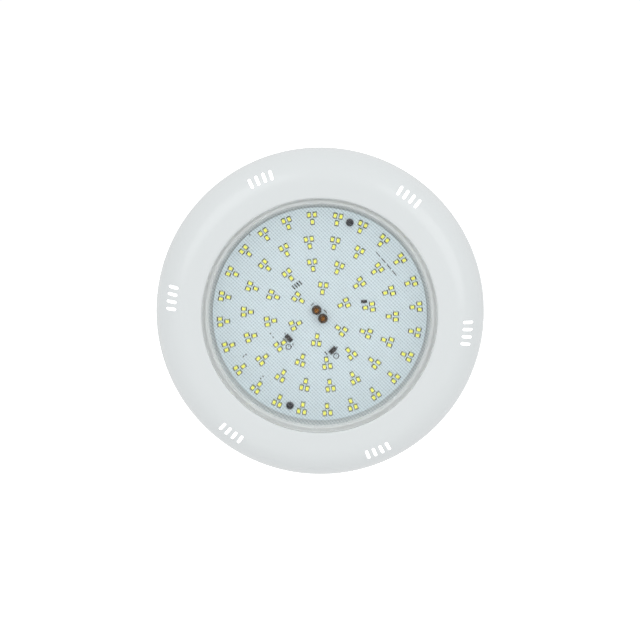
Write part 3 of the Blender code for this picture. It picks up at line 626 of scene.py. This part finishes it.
def make_face_ring():
    """The glossy white shell with its slots, its sleeve and the sleeve's notches."""
    rim = 0.7
    underside = RING_FRONT - RING_SHELL
    sleeve_inner, sleeve_outer, sleeve_rear = SLEEVE
    outer = [117.0, 118.8, 120.4, 121.9] + SLOT_BAND
    outer += shoulder_radii(SLOT_BAND[-1], FLAT_END, RING_RADIUS, 18)
    inner = [118.6, 119.8, 121.0, 122.2] + SLOT_BAND
    inner += shoulder_radii(SLOT_BAND[-1], FLAT_END + RING_SHELL, RING_RADIUS - RING_SHELL, 14)

    profile = arc((RING_INNER + 0.3, RING_LIP_REAR + 0.3), 0.3, 270.0, 180.0)
    profile += arc((RING_INNER + 2.2, RING_FRONT - 1.8), (2.2, 1.8), 180.0, 90.0, 8)
    profile += [(107.5, RING_FRONT), (110.0, RING_FRONT), (112.5, RING_FRONT), (FLAT_END, RING_FRONT)]
    profile += [(radius, ring_front(radius)) for radius in outer]
    profile += arc((RING_RADIUS - rim, RING_REAR + rim), rim, 0.0, -90.0, 4)
    profile += arc((RING_RADIUS - RING_SHELL + rim, RING_REAR + rim), rim, 270.0, 180.0, 4)
    profile += [(radius, ring_inside(radius)) for radius in reversed(inner)]
    profile += arc((sleeve_outer + 0.6, underside - 0.6), 0.6, 90.0, 180.0, 4)
    notch_start = len(profile)
    profile.append((sleeve_outer, KEY_NOTCH_FRONT))
    profile += arc((sleeve_outer - 0.4, sleeve_rear + 0.4), 0.4, 0.0, -90.0)
    profile += arc((sleeve_inner + 0.4, sleeve_rear + 0.4), 0.4, 270.0, 180.0)
    notch_end = len(profile)
    profile.append((sleeve_inner, KEY_NOTCH_FRONT))
    profile += arc((sleeve_inner - 0.6, underside - 0.6), 0.6, 0.0, 90.0, 4)
    profile += [(RING_INNER + 3.6, underside), (RING_INNER + 3.2, underside - 0.6),
                (RING_INNER + 2.8, RING_LIP_REAR + 0.4), (RING_INNER + 2.5, RING_LIP_REAR)]

    angles, holes, notches = [], [], []
    cell_columns, gap_columns, notch_columns = 6, 40, 8
    reach = (SLOT_LENGTH - SLOT_WIDTH) / 2.0
    for group in range(SLOT_GROUPS):
        centre = 360.0 * group / SLOT_GROUPS
        following = centre + 360.0 / SLOT_GROUPS + SLOT_CELLS[0]
        for start, end in zip(SLOT_CELLS, SLOT_CELLS[1:]):
            first = len(angles)
            angles += [centre + start + (end - start) * i / cell_columns for i in range(cell_columns)]
            slot_angle = centre + (start + end) / 2.0
            holes.append((first, first + cell_columns, slot_angle, SLOT_RADIUS, reach, SLOT_WIDTH / 2.0,
                          SLOT_EDGE))
        start = centre + SLOT_CELLS[-1]
        if round(start + (following - start) / 2.0) in KEY_ANGLES:
            first = len(angles) + (gap_columns - notch_columns) // 2
            notches.append((first, first + notch_columns, notch_start, notch_end))
        angles += [start + (following - start) * i / gap_columns for i in range(gap_columns)]

    bm = bmesh.new()
    perforated(bm, profile, angles, SLOT_BAND, ring_front, ring_inside, holes, notches)
    piece("face_ring_shell", bm, "face_ring", "ring", ["face_ring"], sharp=50.0)


# ---- lens

def lens_screw_centres():
    return [polar(LENS_SCREW_CIRCLE, 360.0 * (i + 0.5) / LENS_SCREWS) for i in range(LENS_SCREWS)]


def make_lens():
    """The clear cover: smooth in front, with fine ribs across the back of the pane."""
    round_edge = 0.8
    profile = [(0.0, LENS_FRONT), (50.0, LENS_FRONT), (90.0, LENS_FRONT)]
    profile += arc((PANE_RADIUS - round_edge, LENS_FRONT - round_edge), round_edge, 90.0, 0.0, 5)
    profile += arc((PANE_RADIUS + 0.4, LENS_FLANGE_FRONT + 0.4), 0.4, 180.0, 270.0)
    profile += [(radius, LENS_FLANGE_FRONT) for radius in LENS_BAND]
    profile += arc((LENS_RADIUS - 0.4, LENS_FLANGE_FRONT - 0.4), 0.4, 90.0, 0.0)
    profile += arc((LENS_RADIUS - 0.4, LENS_REAR + 0.4), 0.4, 0.0, -90.0)
    profile += [(radius, LENS_REAR) for radius in reversed(LENS_BAND)]
    step = PANE_INNER + 1.0
    profile += arc((step + 0.4, LENS_REAR + 0.4), 0.4, 270.0, 180.0)
    profile += arc((step - 0.5, PANE_REAR - 0.5), 0.5, 0.0, 90.0)
    profile.append((PANE_INNER, PANE_REAR))

    angles = [360.0 * j / LENS_COLUMNS for j in range(LENS_COLUMNS)]
    holes = []
    for i in range(LENS_SCREWS):
        angle = 360.0 * (i + 0.5) / LENS_SCREWS
        column = round(angle / 360.0 * LENS_COLUMNS)
        holes.append((column - HOLE_HALF_COLUMNS, column + HOLE_HALF_COLUMNS, angle, LENS_SCREW_CIRCLE,
                      0.0, LENS_SCREW_HOLE, 0.3))
    bm = bmesh.new()
    grid = perforated(bm, profile, angles, LENS_BAND, lambda radius: LENS_FLANGE_FRONT,
                      lambda radius: LENS_REAR, holes, closed=False)
    add_ribs(bm, grid[-1])
    piece("lens_pane", bm, "lamp", "lens", ["lens"], sharp=50.0)


def add_ribs(bm, rim):
    """Fill the pane's back with straight strips whose height follows the ribs."""
    first = round(RIB_ANGLE / 360.0 * LENS_COLUMNS)
    chords = []
    for k in range(LENS_COLUMNS // 2 + 1):
        across = PANE_INNER * math.cos(2.0 * math.pi * k / LENS_COLUMNS)
        pair = (rim[(first + k) % LENS_COLUMNS], rim[(first - k) % LENS_COLUMNS])
        for vert in pair:
            vert.co.z = PANE_REAR + RIB_HEIGHT * math.cos(2.0 * math.pi * across / RIB_PITCH)
        chords.append(pair)
    for (a, b), (c, d) in zip(chords, chords[1:]):
        bm.faces.new(list(dict.fromkeys((a, c, d, b))))


# ---- LED board

def led_places():
    """The middle (x, y) and the angle of each LED."""
    for count, radius, start in LED_RINGS:
        for i in range(count):
            angle = start + 360.0 * i / count
            outward, sideways = Vector(polar(1.0, angle)), Vector(polar(1.0, angle + 90.0))
            for out, side in LED_CLUSTER:
                centre = outward * (radius + out) + sideways * side
                yield (centre.x, centre.y), angle


def make_led_board():
    """The white board with its screw and post holes."""
    bm = bmesh.new()
    edge = 0.2
    profile = [(0.0, BOARD_FRONT), (45.0, BOARD_FRONT)]
    profile += arc((BOARD_RADIUS - edge, BOARD_FRONT - edge), edge, 90.0, 0.0, 2)
    profile += arc((BOARD_RADIUS - edge, BOARD_REAR + edge), edge, 0.0, -90.0, 2)
    turned(bm, profile + [(0.0, BOARD_REAR)], 360)
    tool = bmesh.new()
    holes = [(middle(f"board_screw_{i}"), BOARD_SCREW_HOLE) for i in (1, 2)]
    holes += [(middle(f"terminal_post_{i}"), extent(f"terminal_post_{i}")[0] + GAP) for i in (1, 2)]
    for centre, radius in holes:
        prism(tool, circle(radius, centre), BOARD_REAR - 1.0, BOARD_FRONT + 1.0)
    bm = combined(bm, tool, "DIFFERENCE")
    piece("led_board_panel", bm, "lamp", "board", ["led_board"])


def make_leds():
    """180 LED packages: a white body, the yellow phosphor in its cavity, and a soldered lead at each end."""
    bodies, fillings, pads = bmesh.new(), bmesh.new(), bmesh.new()
    for centre, angle in led_places():
        def outline(longer, wider, corner):
            return rounded(LED_LENGTH + longer, LED_WIDTH + wider, corner, centre, angle)

        lofted(bodies, [
            (outline(0.0, 0.0, 0.25), BOARD_FRONT + 0.05), (outline(0.0, 0.0, 0.25), LED_FRONT - 0.15),
            (outline(-0.1, -0.1, 0.25), LED_FRONT), (outline(-0.5, -0.4, 0.35), LED_FRONT),
            (outline(-0.7, -0.6, 0.35), LED_FRONT - 0.3)])
        lofted(fillings, [
            (outline(-0.72, -0.62, 0.35), LED_FRONT - 0.28), (outline(-0.52, -0.42, 0.35), LED_FRONT - 0.04),
            (outline(-1.2, -1.1, 0.3), LED_FRONT - 0.01)])
        # A dark plate wider than the package: its solder pads, and painted shade round its edges.
        prism(pads, outline(1.5, 0.9, 0.2), BOARD_FRONT - 0.1, BOARD_FRONT + 0.03)
        outward = Vector(polar(1.0, angle))
        for side in (-1.0, 1.0):
            foot = Vector(centre) + outward * side * (LED_LENGTH / 2.0 + 0.3)
            top = Vector(centre) + outward * side * (LED_LENGTH / 2.0 + 0.05)
            lofted(pads, [(rounded(1.1, LED_WIDTH - 0.2, 0.25, foot, angle), BOARD_FRONT),
                          (rounded(1.0, LED_WIDTH - 0.3, 0.25, foot, angle), BOARD_FRONT + 0.14),
                          (rounded(0.3, LED_WIDTH - 0.6, 0.1, top, angle), BOARD_FRONT + 0.42)])
    piece("led_packages", bodies, "lamp", "led_body")
    piece("led_phosphor", fillings, "lamp", "phosphor")
    piece("led_solder_pads_and_painted_shade", pads, "lamp", "tin")


def make_board_marks():
    """Plain printed marks on the board: bars, rings, ticks and dots."""
    low, high = BOARD_FRONT - 0.1, BOARD_FRONT + 0.03
    bm = bmesh.new()
    for i in range(4):
        prism(bm, rounded(4.4, 1.25, 0.2, (-25.6 + 1.8 * i, 20.8 + 1.6 * i), -41.0), low, high)
    for centre in ((-23.9, -32.0), (18.7, -34.9)):
        turned(bm, band(1.9, 2.6, low, high, 0.02), 32, centre)
        prism(bm, circle(0.4, (centre[0], centre[1] + 0.5), 16), low, high)
    start, end = Vector((43.1, 59.8)), Vector((62.0, 42.6))
    for i in range(15):
        if i % 4 != 3:
            prism(bm, rounded(1.9, 0.75, 0.1, start.lerp(end, i / 14.0), -42.0), low, high)
    for centre, angle in (((-7.4, 7.9), 47.0), ((4.7, 3.1), -41.0), ((9.6, -33.7), -44.0)):
        prism(bm, rounded(3.8, 0.8, 0.1, centre, angle), low, high)
    dots = ((-41.0, -22.1), (-38.3, -25.0), (-60.3, -43.2), (-62.2, -45.1), (-43.1, -60.5), (-44.9, -62.6),
            (-69.1, 62.2), (-28.2, -20.6), (-29.1, -25.4), (-20.3, -29.2), (-21.4, -31.3), (18.4, -27.3))
    for centre in dots:
        prism(bm, rounded(1.6, 0.9, 0.3, centre, -40.0), low, high)
    piece("board_marks", bm, "lamp", "ink")


def make_board_part(name, size, angle):
    """A small moulded part with a parting line, a bent metal lead and solder at each end."""
    centre = middle(name)
    length, width = size
    _, rear, front = extent(name)
    waist = (rear + front) / 2.0
    bm = bmesh.new()
    levels = ((0.25, rear + 0.05), (0.0, waist - 0.1), (0.0, waist + 0.1), (0.2, front - 0.15), (0.5, front))
    lofted(bm, [(rounded(length - inset, width - inset, 0.2, centre, angle), z) for inset, z in levels])
    piece(name + "_body", bm, "lamp", "epoxy", [name])
    bm = bmesh.new()
    outward = Vector(polar(1.0, angle))
    for side in (-1.0, 1.0):
        foot = Vector(centre) + outward * side * (length / 2.0 + 0.45)
        root = Vector(centre) + outward * side * (length / 2.0 + 0.12)
        prism(bm, rounded(1.0, width * 0.8, 0.1, foot, angle), rear - 0.2, rear + 0.15)
        prism(bm, rounded(0.22, width * 0.75, 0.1, root, angle), rear, waist)
        solder = [(1.3, width * 0.95, rear - 0.3), (1.2, width * 0.9, rear - 0.05),
                  (0.8, width * 0.7, rear + 0.2)]
        lofted(bm, [(rounded(long, wide, 0.2, foot, angle), z) for long, wide, z in solder])
    piece(name + "_leads", bm, "lamp", "tin")


# ---- screws, nuts and posts

def dome(radius, low, high, power=0.45, steps=8):
    """Points from the axis at the top of a pan head to its outer edge."""
    points = []
    for i in range(steps + 1):
        angle = math.radians(90.0 * i / steps)
        points.append((radius * math.sin(angle), low + (high - low) * math.cos(angle) ** power))
    return [(0.0, high)] + points[1:]


def threaded(radius, depth, pitch, start, end):
    """Crests and roots of a thread along a shank, from the front to the tip."""
    count = int(abs(end - start) / pitch)
    points = []
    for i in range(count):
        z = start - pitch * (i + 0.5)
        points += [(radius - depth, z + pitch * 0.4), (radius, z + pitch * 0.08), (radius, z - pitch * 0.08)]
    return points


def make_screw(finish, node_name, piece_name, head_radius, head_height, shank_radius, recess):
    """A pan-head screw with a cross recess and a turned thread."""
    centre = middle(node_name)
    _, tip, top = extent(node_name)
    under = top - head_height
    profile = dome(head_radius, under + 0.35, top)
    profile += [(head_radius, under + 0.12), (head_radius - 0.12, under), (shank_radius, under)]
    profile += threaded(shank_radius, 0.3, 0.8, under - 0.6, tip + 1.4)
    profile += [(shank_radius - 0.3, tip + 1.2), (shank_radius * 0.35, tip), (0.0, tip)]
    bm = alone(turned, profile, 32, centre)
    for turn in (20.0, 110.0):
        tool = bmesh.new()
        levels = [(0.62, 0.7), (1.0, 1.0), (1.02, 1.04)]
        heights = (top - recess, top - 0.05, top + 0.5)
        lofted(tool, [(rounded(head_radius * 1.15 * long, 0.75 * wide, 0.12, centre, turn), z)
                      for (long, wide), z in zip(levels, heights)])
        bm = combined(bm, tool, "DIFFERENCE")
    piece(piece_name, bm, "lamp", finish, [node_name])


def hex_block(across, rear, front, centre=(0.0, 0.0)):
    """A hexagon block with its corners turned off at 30 degrees."""
    corner = across / math.sqrt(3.0)
    flat = across / 2.0 * 0.95
    rise = (corner + 0.2 - flat) * math.tan(math.radians(30.0))
    bm = alone(prism, placed(hexagon(across), centre), rear, front)
    tool = bmesh.new()
    profile = [(0.0, front), (flat, front), (corner + 0.2, front - rise), (corner + 0.2, rear + rise),
               (flat, rear), (0.0, rear)]
    turned(tool, profile, 64, centre)
    return combined(bm, tool, "INTERSECT")


def chamfered_nut(across, bore, rear, front, centre=(0.0, 0.0)):
    """A hexagon nut with a lead-in at each end of its hole."""
    bm = hex_block(across, rear, front, centre)
    tool = bmesh.new()
    lead_in = 0.35
    wide = bore + lead_in
    turned(tool, [(0.0, front + 1.0), (wide, front + 1.0), (wide, front), (bore, front - lead_in),
                  (bore, rear + lead_in), (wide, rear), (wide, rear - 1.0), (0.0, rear - 1.0)], 48, centre)
    return combined(bm, tool, "DIFFERENCE")


def make_terminals():
    """The two posts through the board, each with its washer and nut."""
    for i in (1, 2):
        centre = middle(f"terminal_post_{i}")
        radius, rear, front = extent(f"terminal_post_{i}")
        profile = [(0.0, front), (radius - 0.6, front), (radius - 0.35, front - 0.2)]
        profile += threaded(radius, 0.28, 0.7, front - 0.3, rear + 1.0)
        profile += [(radius - 0.28, rear + 0.5), (radius - 0.5, rear), (0.0, rear)]
        bm = alone(turned, profile, 40, centre)
        piece(f"terminal_stud_{i}", bm, "lamp", "brass", [f"terminal_post_{i}"])

        outer, rear, front = extent(f"terminal_washer_{i}")
        bm = alone(turned, band(radius + GAP, outer, rear, front, 0.15), 48, centre)
        piece(f"terminal_plain_washer_{i}", bm, "lamp", "dark_steel",
              [f"terminal_washer_{i}"])

        _, rear, front = extent(f"terminal_nut_{i}")
        bm = chamfered_nut(TERMINAL_NUT, radius + GAP, rear, front, centre)
        piece(f"terminal_hex_nut_{i}", bm, "lamp", "nut", [f"terminal_nut_{i}"])


# ---- wall bracket

def make_wall_bracket():
    """The disc on the wall: three claws with their stops, the cable window and the screw slots."""
    root = 1.0
    inner, wall_outer = CLAW_RADII
    claw = [(inner, root), (wall_outer, root), (wall_outer, CLAW_LIP_REAR), (CLAW_TIP, CLAW_LIP_REAR),
            (CLAW_TIP, CLAW_FRONT), (inner, CLAW_FRONT)]
    stop = [(inner + 0.2, root), (wall_outer - 0.2, root), (wall_outer - 0.2, STOP_REAR),
            (CLAW_TIP - 0.2, STOP_REAR), (CLAW_TIP - 0.2, CLAW_FRONT - 0.2), (inner + 0.2, CLAW_FRONT - 0.2)]
    bm = alone(prism, circle(PLATE_RADIUS, sides=240), 0.0, PLATE_THICK)
    for outline, begin, finish in ((claw, -CLAW_HALF_ANGLE, CLAW_HALF_ANGLE),
                                   (stop, -CLAW_HALF_ANGLE - STOP_ANGLE, 0.2 - CLAW_HALF_ANGLE)):
        tool = bmesh.new()
        for angle in LOCK_ANGLES:
            sector(tool, outline, angle + begin, angle + finish)
        bm = combined(bm, tool, "UNION")
    tool = bmesh.new()
    window = box_profile(*WINDOW_RADII, -1.0, PLATE_THICK + 1.0)
    sector(tool, window, 270.0 - WINDOW_HALF_ANGLE, 270.0 + WINDOW_HALF_ANGLE, 24)
    length, width = WALL_SLOT_SIZE
    for centre, angle in WALL_SLOTS:
        prism(tool, rounded(length, width, width / 2.0, centre, angle, 8), -1.0, PLATE_THICK + 1.0)
    bm = combined(bm, tool, "DIFFERENCE")
    tool = bmesh.new()
    for centre, angle in WALL_SLOTS[:2]:
        sink = rounded(length + 4.0, width + 4.0, width / 2.0 + 2.0, centre, angle, 8)
        prism(tool, sink, 2.0, PLATE_THICK + 1.0)
    mark_radius, marks_circle = PLATE_MARK
    pins(tool, six_places(marks_circle), mark_radius, PLATE_THICK - 0.15, PLATE_THICK + 1.0, 32)
    bm = combined(bm, tool, "DIFFERENCE")
    piece("bracket_plate", softened(bm, 0.25), "wall_bracket", "bracket",
          ["wall_bracket"])


# ---- lamp housing

def board_screw_centres():
    return [middle(f"board_screw_{i}") for i in (1, 2)]


def make_lamp_housing():
    """The sealed bowl with its hub, ribs, bosses, hooks, keys and gland boss."""
    hub_inner = HUB_RADIUS - WALL_THICK
    profile = [(0.0, HUB_REAR + WALL_THICK), (hub_inner, HUB_REAR + WALL_THICK), (hub_inner, FLOOR_FRONT),
               (WELL_RADII[0], FLOOR_FRONT), (WELL_RADII[0], FLANGE_FRONT), (FLANGE_RADIUS, FLANGE_FRONT),
               (FLANGE_RADIUS, FLANGE_REAR), (WELL_RADII[1], FLANGE_REAR), (WELL_RADII[1], FLOOR_REAR),
               (HUB_RADIUS, FLOOR_REAR), (HUB_RADIUS, HUB_REAR), (0.0, HUB_REAR)]
    bm = alone(turned, profile, 240)
    for added_shape in (housing_ribs, housing_bosses, hooks_and_keys, gland_boss):
        bm = combined(bm, added_shape(), "UNION")
    bm = combined(bm, housing_holes(), "DIFFERENCE")
    tool = alone(prism, circle(GLAND_THREAD_RADIUS + GAP, sides=64), GLAND_BOSS[1] - 3.0, GLAND_BOSS[2] + 3.0)
    tool.transform(LAMP.inverted() @ GLAND)
    bm = combined(bm, tool, "DIFFERENCE")
    piece("lamp_housing_bowl", softened(bm, 0.3), "lamp", "housing", ["lamp_housing"])


def housing_ribs():
    """Radial ribs behind the floor, with room left straight below the hub for the gland."""
    bm = bmesh.new()
    start, end = HUB_RADIUS - 1.0, WELL_RADII[1] - 1.0
    for angle in range(15, 360, 30):
        if abs(angle - 270) > 20:
            centre = polar((start + end) / 2.0, angle)
            rib = rectangle(end - start, HOUSING_RIB_WIDTH, centre, angle)
            prism(bm, rib, HOUSING_RIB_REAR, FLOOR_REAR + 0.5)
    return bm


def housing_bosses():
    bm = bmesh.new()
    for centres, (radius, rear), front in ((board_screw_centres(), BOARD_BOSS, FLOOR_REAR + 0.6),
                                           (lens_screw_centres(), LENS_BOSS, FLANGE_REAR + 0.7)):
        pins(bm, centres, radius, rear, front)
    return bm


def hooks_and_keys():
    """Three hooks that turn in behind the claws, and three keys that the face ring sits on."""
    lip, wall_inner, wall_outer = HOOK_RADII
    lip_rear, lip_front = HOOK_LIP
    root = FLOOR_REAR + 1.0
    hook = [(lip, lip_rear), (wall_outer, lip_rear), (wall_outer, root), (wall_inner, root),
            (wall_inner, lip_front), (lip, lip_front)]
    key = box_profile(FLANGE_RADIUS - 2.0, KEY_RADIUS, FLANGE_REAR + 0.4, FLANGE_FRONT - 0.4)
    bm = bmesh.new()
    for angle in LOCK_ANGLES:
        sector(bm, hook, angle - HOOK_HALF_ANGLE, angle + HOOK_HALF_ANGLE)
    for angle in KEY_ANGLES:
        sector(bm, key, angle - KEY_HALF_ANGLE, angle + KEY_HALF_ANGLE)
    return bm


def gland_boss():
    """The block through the hub's lower wall that the gland screws into."""
    width, inner, outer, rear = GLAND_BOSS
    bm = alone(prism, rectangle(width, outer - inner, (0.0, -(inner + outer) / 2.0)), rear, FLOOR_REAR + 0.4)
    return bm


def housing_holes():
    """Pilot holes for the screws, and the round marks that ejector pins leave behind the floor."""
    bm = bmesh.new()
    pins(bm, board_screw_centres(), BOARD_PILOT, BOARD_BOSS[1] + 1.5, FLOOR_FRONT + 1.0)
    pins(bm, lens_screw_centres(), LENS_PILOT, LENS_BOSS[1] + 2.0, FLANGE_FRONT + 1.0)
    mark_radius, marks_circle = EJECTOR_MARK
    pins(bm, six_places(marks_circle), mark_radius, FLOOR_REAR - 1.0, FLOOR_REAR + 0.2)
    return bm


# ---- inside the lamp

def make_inner_parts():
    """The lens seal, the thermal pad and the terminal block."""
    edge = 0.25
    groove = ((0.88, 0.0), (0.78, 0.1), (0.65, 0.35), (0.5, 0.4), (0.35, 0.35), (0.22, 0.1), (0.12, 0.0))
    lips = [(SEAL_INNER + share * (SEAL_RADIUS - SEAL_INNER), SEAL_FRONT - drop) for share, drop in groove]
    profile = [(SEAL_INNER, SEAL_REAR + edge), (SEAL_INNER + edge, SEAL_REAR),
               (SEAL_RADIUS - edge, SEAL_REAR), (SEAL_RADIUS, SEAL_REAR + edge),
               (SEAL_RADIUS, SEAL_FRONT - edge)]
    bm = alone(turned, profile + lips + [(SEAL_INNER, SEAL_FRONT - edge)], 240)
    piece("lens_seal_ring", bm, "lamp", "silicone", ["lens_seal"])

    bm, tool = bmesh.new(), bmesh.new()
    turned(bm, band(PAD_INNER, PAD_RADIUS, PAD_REAR, PAD_FRONT, 0.15), 180)
    pins(tool, board_screw_centres(), PAD_SCREW_HOLE, PAD_REAR - 1.0, PAD_FRONT + 1.0)
    piece("thermal_gap_pad", combined(bm, tool, "DIFFERENCE"), "lamp", "pad", ["thermal_pad"])

    base = rounded(2.0 * BLOCK_HALF_WIDTH, BLOCK_DEPTH, 1.5, sides=6)
    bm = alone(prism, base, BLOCK_REAR, BLOCK_BASE_FRONT)
    tool = alone(prism, circle(PILLAR_RADIUS, sides=96), BLOCK_BASE_FRONT - 2.0, PILLAR_FRONT)
    bm = combined(bm, tool, "UNION")
    tool = bmesh.new()
    for i in (1, 2):
        radius, rear, _ = extent(f"terminal_post_{i}")
        prism(tool, circle(radius + GAP, middle(f"terminal_post_{i}")), rear - 1.0, PILLAR_FRONT + 1.0)
        prism(tool, circle(CLAMP_HOLE, middle(f"clamp_screw_{i}")), extent(f"clamp_screw_{i}")[1] - 1.0,
              BLOCK_BASE_FRONT + 1.0)
    for side in (-1.0, 1.0):
        place = (side * CORE_PORT_PLACE[0], CORE_PORT_PLACE[1])
        prism(tool, rounded(*CORE_PORT, place, 90.0), BLOCK_REAR + 2.0, BLOCK_BASE_FRONT - 4.0)
    bm = combined(bm, tool, "DIFFERENCE")
    piece("terminal_block_moulding", softened(bm, 0.3), "lamp", "insulator",
          ["terminal_block"])


# ---- cable gland

def make_gland():
    """Body, O-ring, locknut, rubber insert and cap, each turned about the gland's axis."""
    start, end = along_gland("gland_body")
    hex_start, hex_end = GLAND_HEX_PLACES
    sleeve, thread = GLAND_SLEEVE_RADIUS, GLAND_THREAD_RADIUS
    profile = [(0.0, end), (sleeve - 0.4, end), (sleeve, end - 0.4)]
    profile += threaded(sleeve, 0.35, 1.5, end - 1.0, end - 6.2)
    profile += [(sleeve, hex_end + 0.6), (sleeve, hex_end - 0.5), (thread, hex_end - 1.0),
                (thread, hex_start - 1.0)]
    profile += threaded(thread, 0.4, 1.5, hex_start - 1.5, start + 1.2)
    profile += [(sleeve, start + 0.5), (sleeve - 0.4, start), (0.0, start)]
    bm = alone(turned, profile, 96)
    bm = combined(bm, hex_block(GLAND_HEX, hex_start, hex_end), "UNION")
    tool = bmesh.new()
    bore = [(0.0, end + 1.0), (INSERT_SEAT, end + 1.0), (INSERT_SEAT, end - 5.0), (CABLE_BORE, end - 6.4),
            (CABLE_BORE, start - 1.0), (0.0, start - 1.0)]
    turned(tool, bore, 96)
    bm = combined(bm, tool, "DIFFERENCE")
    piece("gland_threaded_body", bm, "lamp", "nylon", ["gland_body"], GLAND)

    start, end = along_gland("gland_o_ring")
    section = (end - start) / 2.0
    bm = alone(turned, circle(section, (extent("gland_o_ring")[0] - section, (start + end) / 2.0), 24), 120)
    piece("gland_seal_ring", bm, "lamp", "rubber", ["gland_o_ring"], GLAND)

    bm = chamfered_nut(GLAND_HEX, thread + GAP, *along_gland("gland_locknut"))
    piece("gland_hex_locknut", bm, "lamp", "nylon", ["gland_locknut"], GLAND)

    start, end = along_gland("gland_insert")
    bore, outer = CABLE_BORE - GAP, INSERT_SEAT - GAP
    profile = arc((bore + 0.3, end - 0.3), 0.3, 180.0, 90.0)
    profile += [(outer - 0.8, end), (outer, end - 1.5), (outer, start + 0.3), (outer - 0.3, start),
                (bore + 0.3, start)]
    for i in range(4):
        profile += arc((bore + 0.25, start + 1.0 + 1.6 * i), (0.25, 0.7), 250.0, 110.0, 4)
    bm = alone(turned, profile, 96)
    piece("gland_rubber_insert", bm, "gland_insert", "rubber", ["gland_insert"], GLAND)

    start, end = along_gland("gland_cap")
    bm = hex_block(GLAND_HEX, start, CAP_HEX_END)
    tool = bmesh.new()
    dome_profile = [(0.0, end)] + arc((CAP_RADIUS - 3.0, end - 4.0), (3.0, 4.0), 90.0, 0.0, 10)
    turned(tool, dome_profile + [(CAP_RADIUS, start + 1.0), (0.0, start + 1.0)], 96)
    bm = combined(bm, tool, "UNION")
    tool = bmesh.new()
    lip = CABLE_BORE + 0.7
    mouth = [(0.0, end + 1.6), (lip, end + 1.6), (lip, end), (CABLE_BORE, end - 0.8)]
    hollow = [(CABLE_BORE, end - 3.2), (6.0, end - 3.7), (6.8, CAP_HEX_END - 0.1),
              (CAP_BORE, CAP_HEX_END - 0.7)]
    turned(tool, mouth + hollow + [(CAP_BORE, start - 1.0), (0.0, start - 1.0)], 96)
    bm = combined(bm, tool, "DIFFERENCE")
    piece("gland_dome_cap", bm, "gland_cap", "nylon", ["gland_cap"], GLAND)


# ---- camera, light and floor

def make_camera():
    """The viewpoint: nearly square to the light, a little above it, with the camera rolled."""
    azimuth, elevation, roll = math.radians(-0.07), math.radians(6.5), math.radians(6.8)
    distance = 3.0
    target = Vector((0.0008, -0.030, -0.0056))
    back = Vector((math.sin(azimuth) * math.cos(elevation), -math.cos(azimuth) * math.cos(elevation),
                   math.sin(elevation)))
    camera = in_scene("camera", bpy.data.cameras.new("camera"))
    camera.data.lens = 191.9
    camera.data.sensor_width = 36.0
    camera.data.clip_end = 50.0
    camera.location = target + back * distance
    camera.rotation_mode = "QUATERNION"
    look = (-back).to_track_quat("-Z", "Y")
    camera.rotation_quaternion = look @ Matrix.Rotation(roll, 3, "Z").to_quaternion()
    bpy.context.scene.camera = camera


def make_area_light(name, location, target, size, power):
    light = in_scene(name, bpy.data.lights.new(name, "AREA"))
    light.data.shape = "DISK"
    light.data.size = size
    light.data.energy = power
    light.location = location
    light.rotation_mode = "QUATERNION"
    light.rotation_quaternion = (Vector(target) - Vector(location)).to_track_quat("-Z", "Y")


def make_world():
    """A white studio, bright above and darker towards the floor. The camera sees it plain white."""
    world = bpy.data.worlds.new("studio")
    bpy.context.scene.world = world
    world.use_nodes = True
    tree = world.node_tree
    direction = node(tree, "TexCoord").outputs["Generated"]
    height = node(tree, "SeparateXYZ", {"Vector": direction}).outputs["Z"]
    shade = ramp(tree, spread(tree, height, 0.0, 1.0, (-1.0, 1.0)),
                 [(0.0, (0.66, 0.67, 0.67)), (0.45, (0.80, 0.81, 0.81)), (0.75, (0.95, 0.955, 0.96))])
    lit = tree.nodes["Background"]
    tree.links.new(shade, lit.inputs["Color"])
    lit.inputs["Strength"].default_value = 0.9
    seen = node(tree, "Background", {"Color": (1.0, 1.0, 1.0, 1.0), "Strength": 1.05})
    eye = node(tree, "LightPath").outputs["Is Camera Ray"]
    mixed = node(tree, "MixShader", {0: eye, 1: lit.outputs[0], 2: seen.outputs[0]})
    tree.links.new(mixed.outputs[0], tree.nodes["World Output"].inputs["Surface"])


def make_floor():
    """A plain pale floor well below the light."""
    bpy.ops.mesh.primitive_plane_add(size=80.0, location=(0.0, 0.0, -2.0))
    floor = bpy.context.object
    floor.name = "floor"
    floor.data.materials.append(MATERIALS["floor"])


# ---- the whole

def main():
    make_camera()
    make_world()
    make_area_light("softbox_left", (-2.0, -2.6, 1.4), (0.0, 0.0, 0.0), 3.0, 18.0)
    make_area_light("softbox_right", (2.0, -2.6, 1.4), (0.0, 0.0, 0.0), 3.0, 18.0)
    make_floor()
    bpy.context.scene.view_settings.view_transform = "Standard"

    for make in (make_wall_bracket, make_lamp_housing, make_inner_parts, make_gland, make_face_ring,
                 make_lens, make_led_board, make_leds, make_board_marks):
        make()
    make_board_part("rectifier_1", RECTIFIER_SIZE, -40.0)
    make_board_part("rectifier_2", RECTIFIER_SIZE, 52.0)
    make_board_part("thermal_fuse", FUSE_SIZE, 10.0)
    make_terminals()
    for i in (1, 2):
        make_screw("dark_screw", f"board_screw_{i}", f"board_pan_screw_{i}", *BOARD_SCREW)
        make_screw("steel", f"clamp_screw_{i}", f"clamp_pan_screw_{i}", *CLAMP_SCREW)
    for i in range(1, LENS_SCREWS + 1):
        make_screw("steel", f"lens_screw_{i}", f"lens_pan_screw_{i}", *LENS_SCREW)


main()
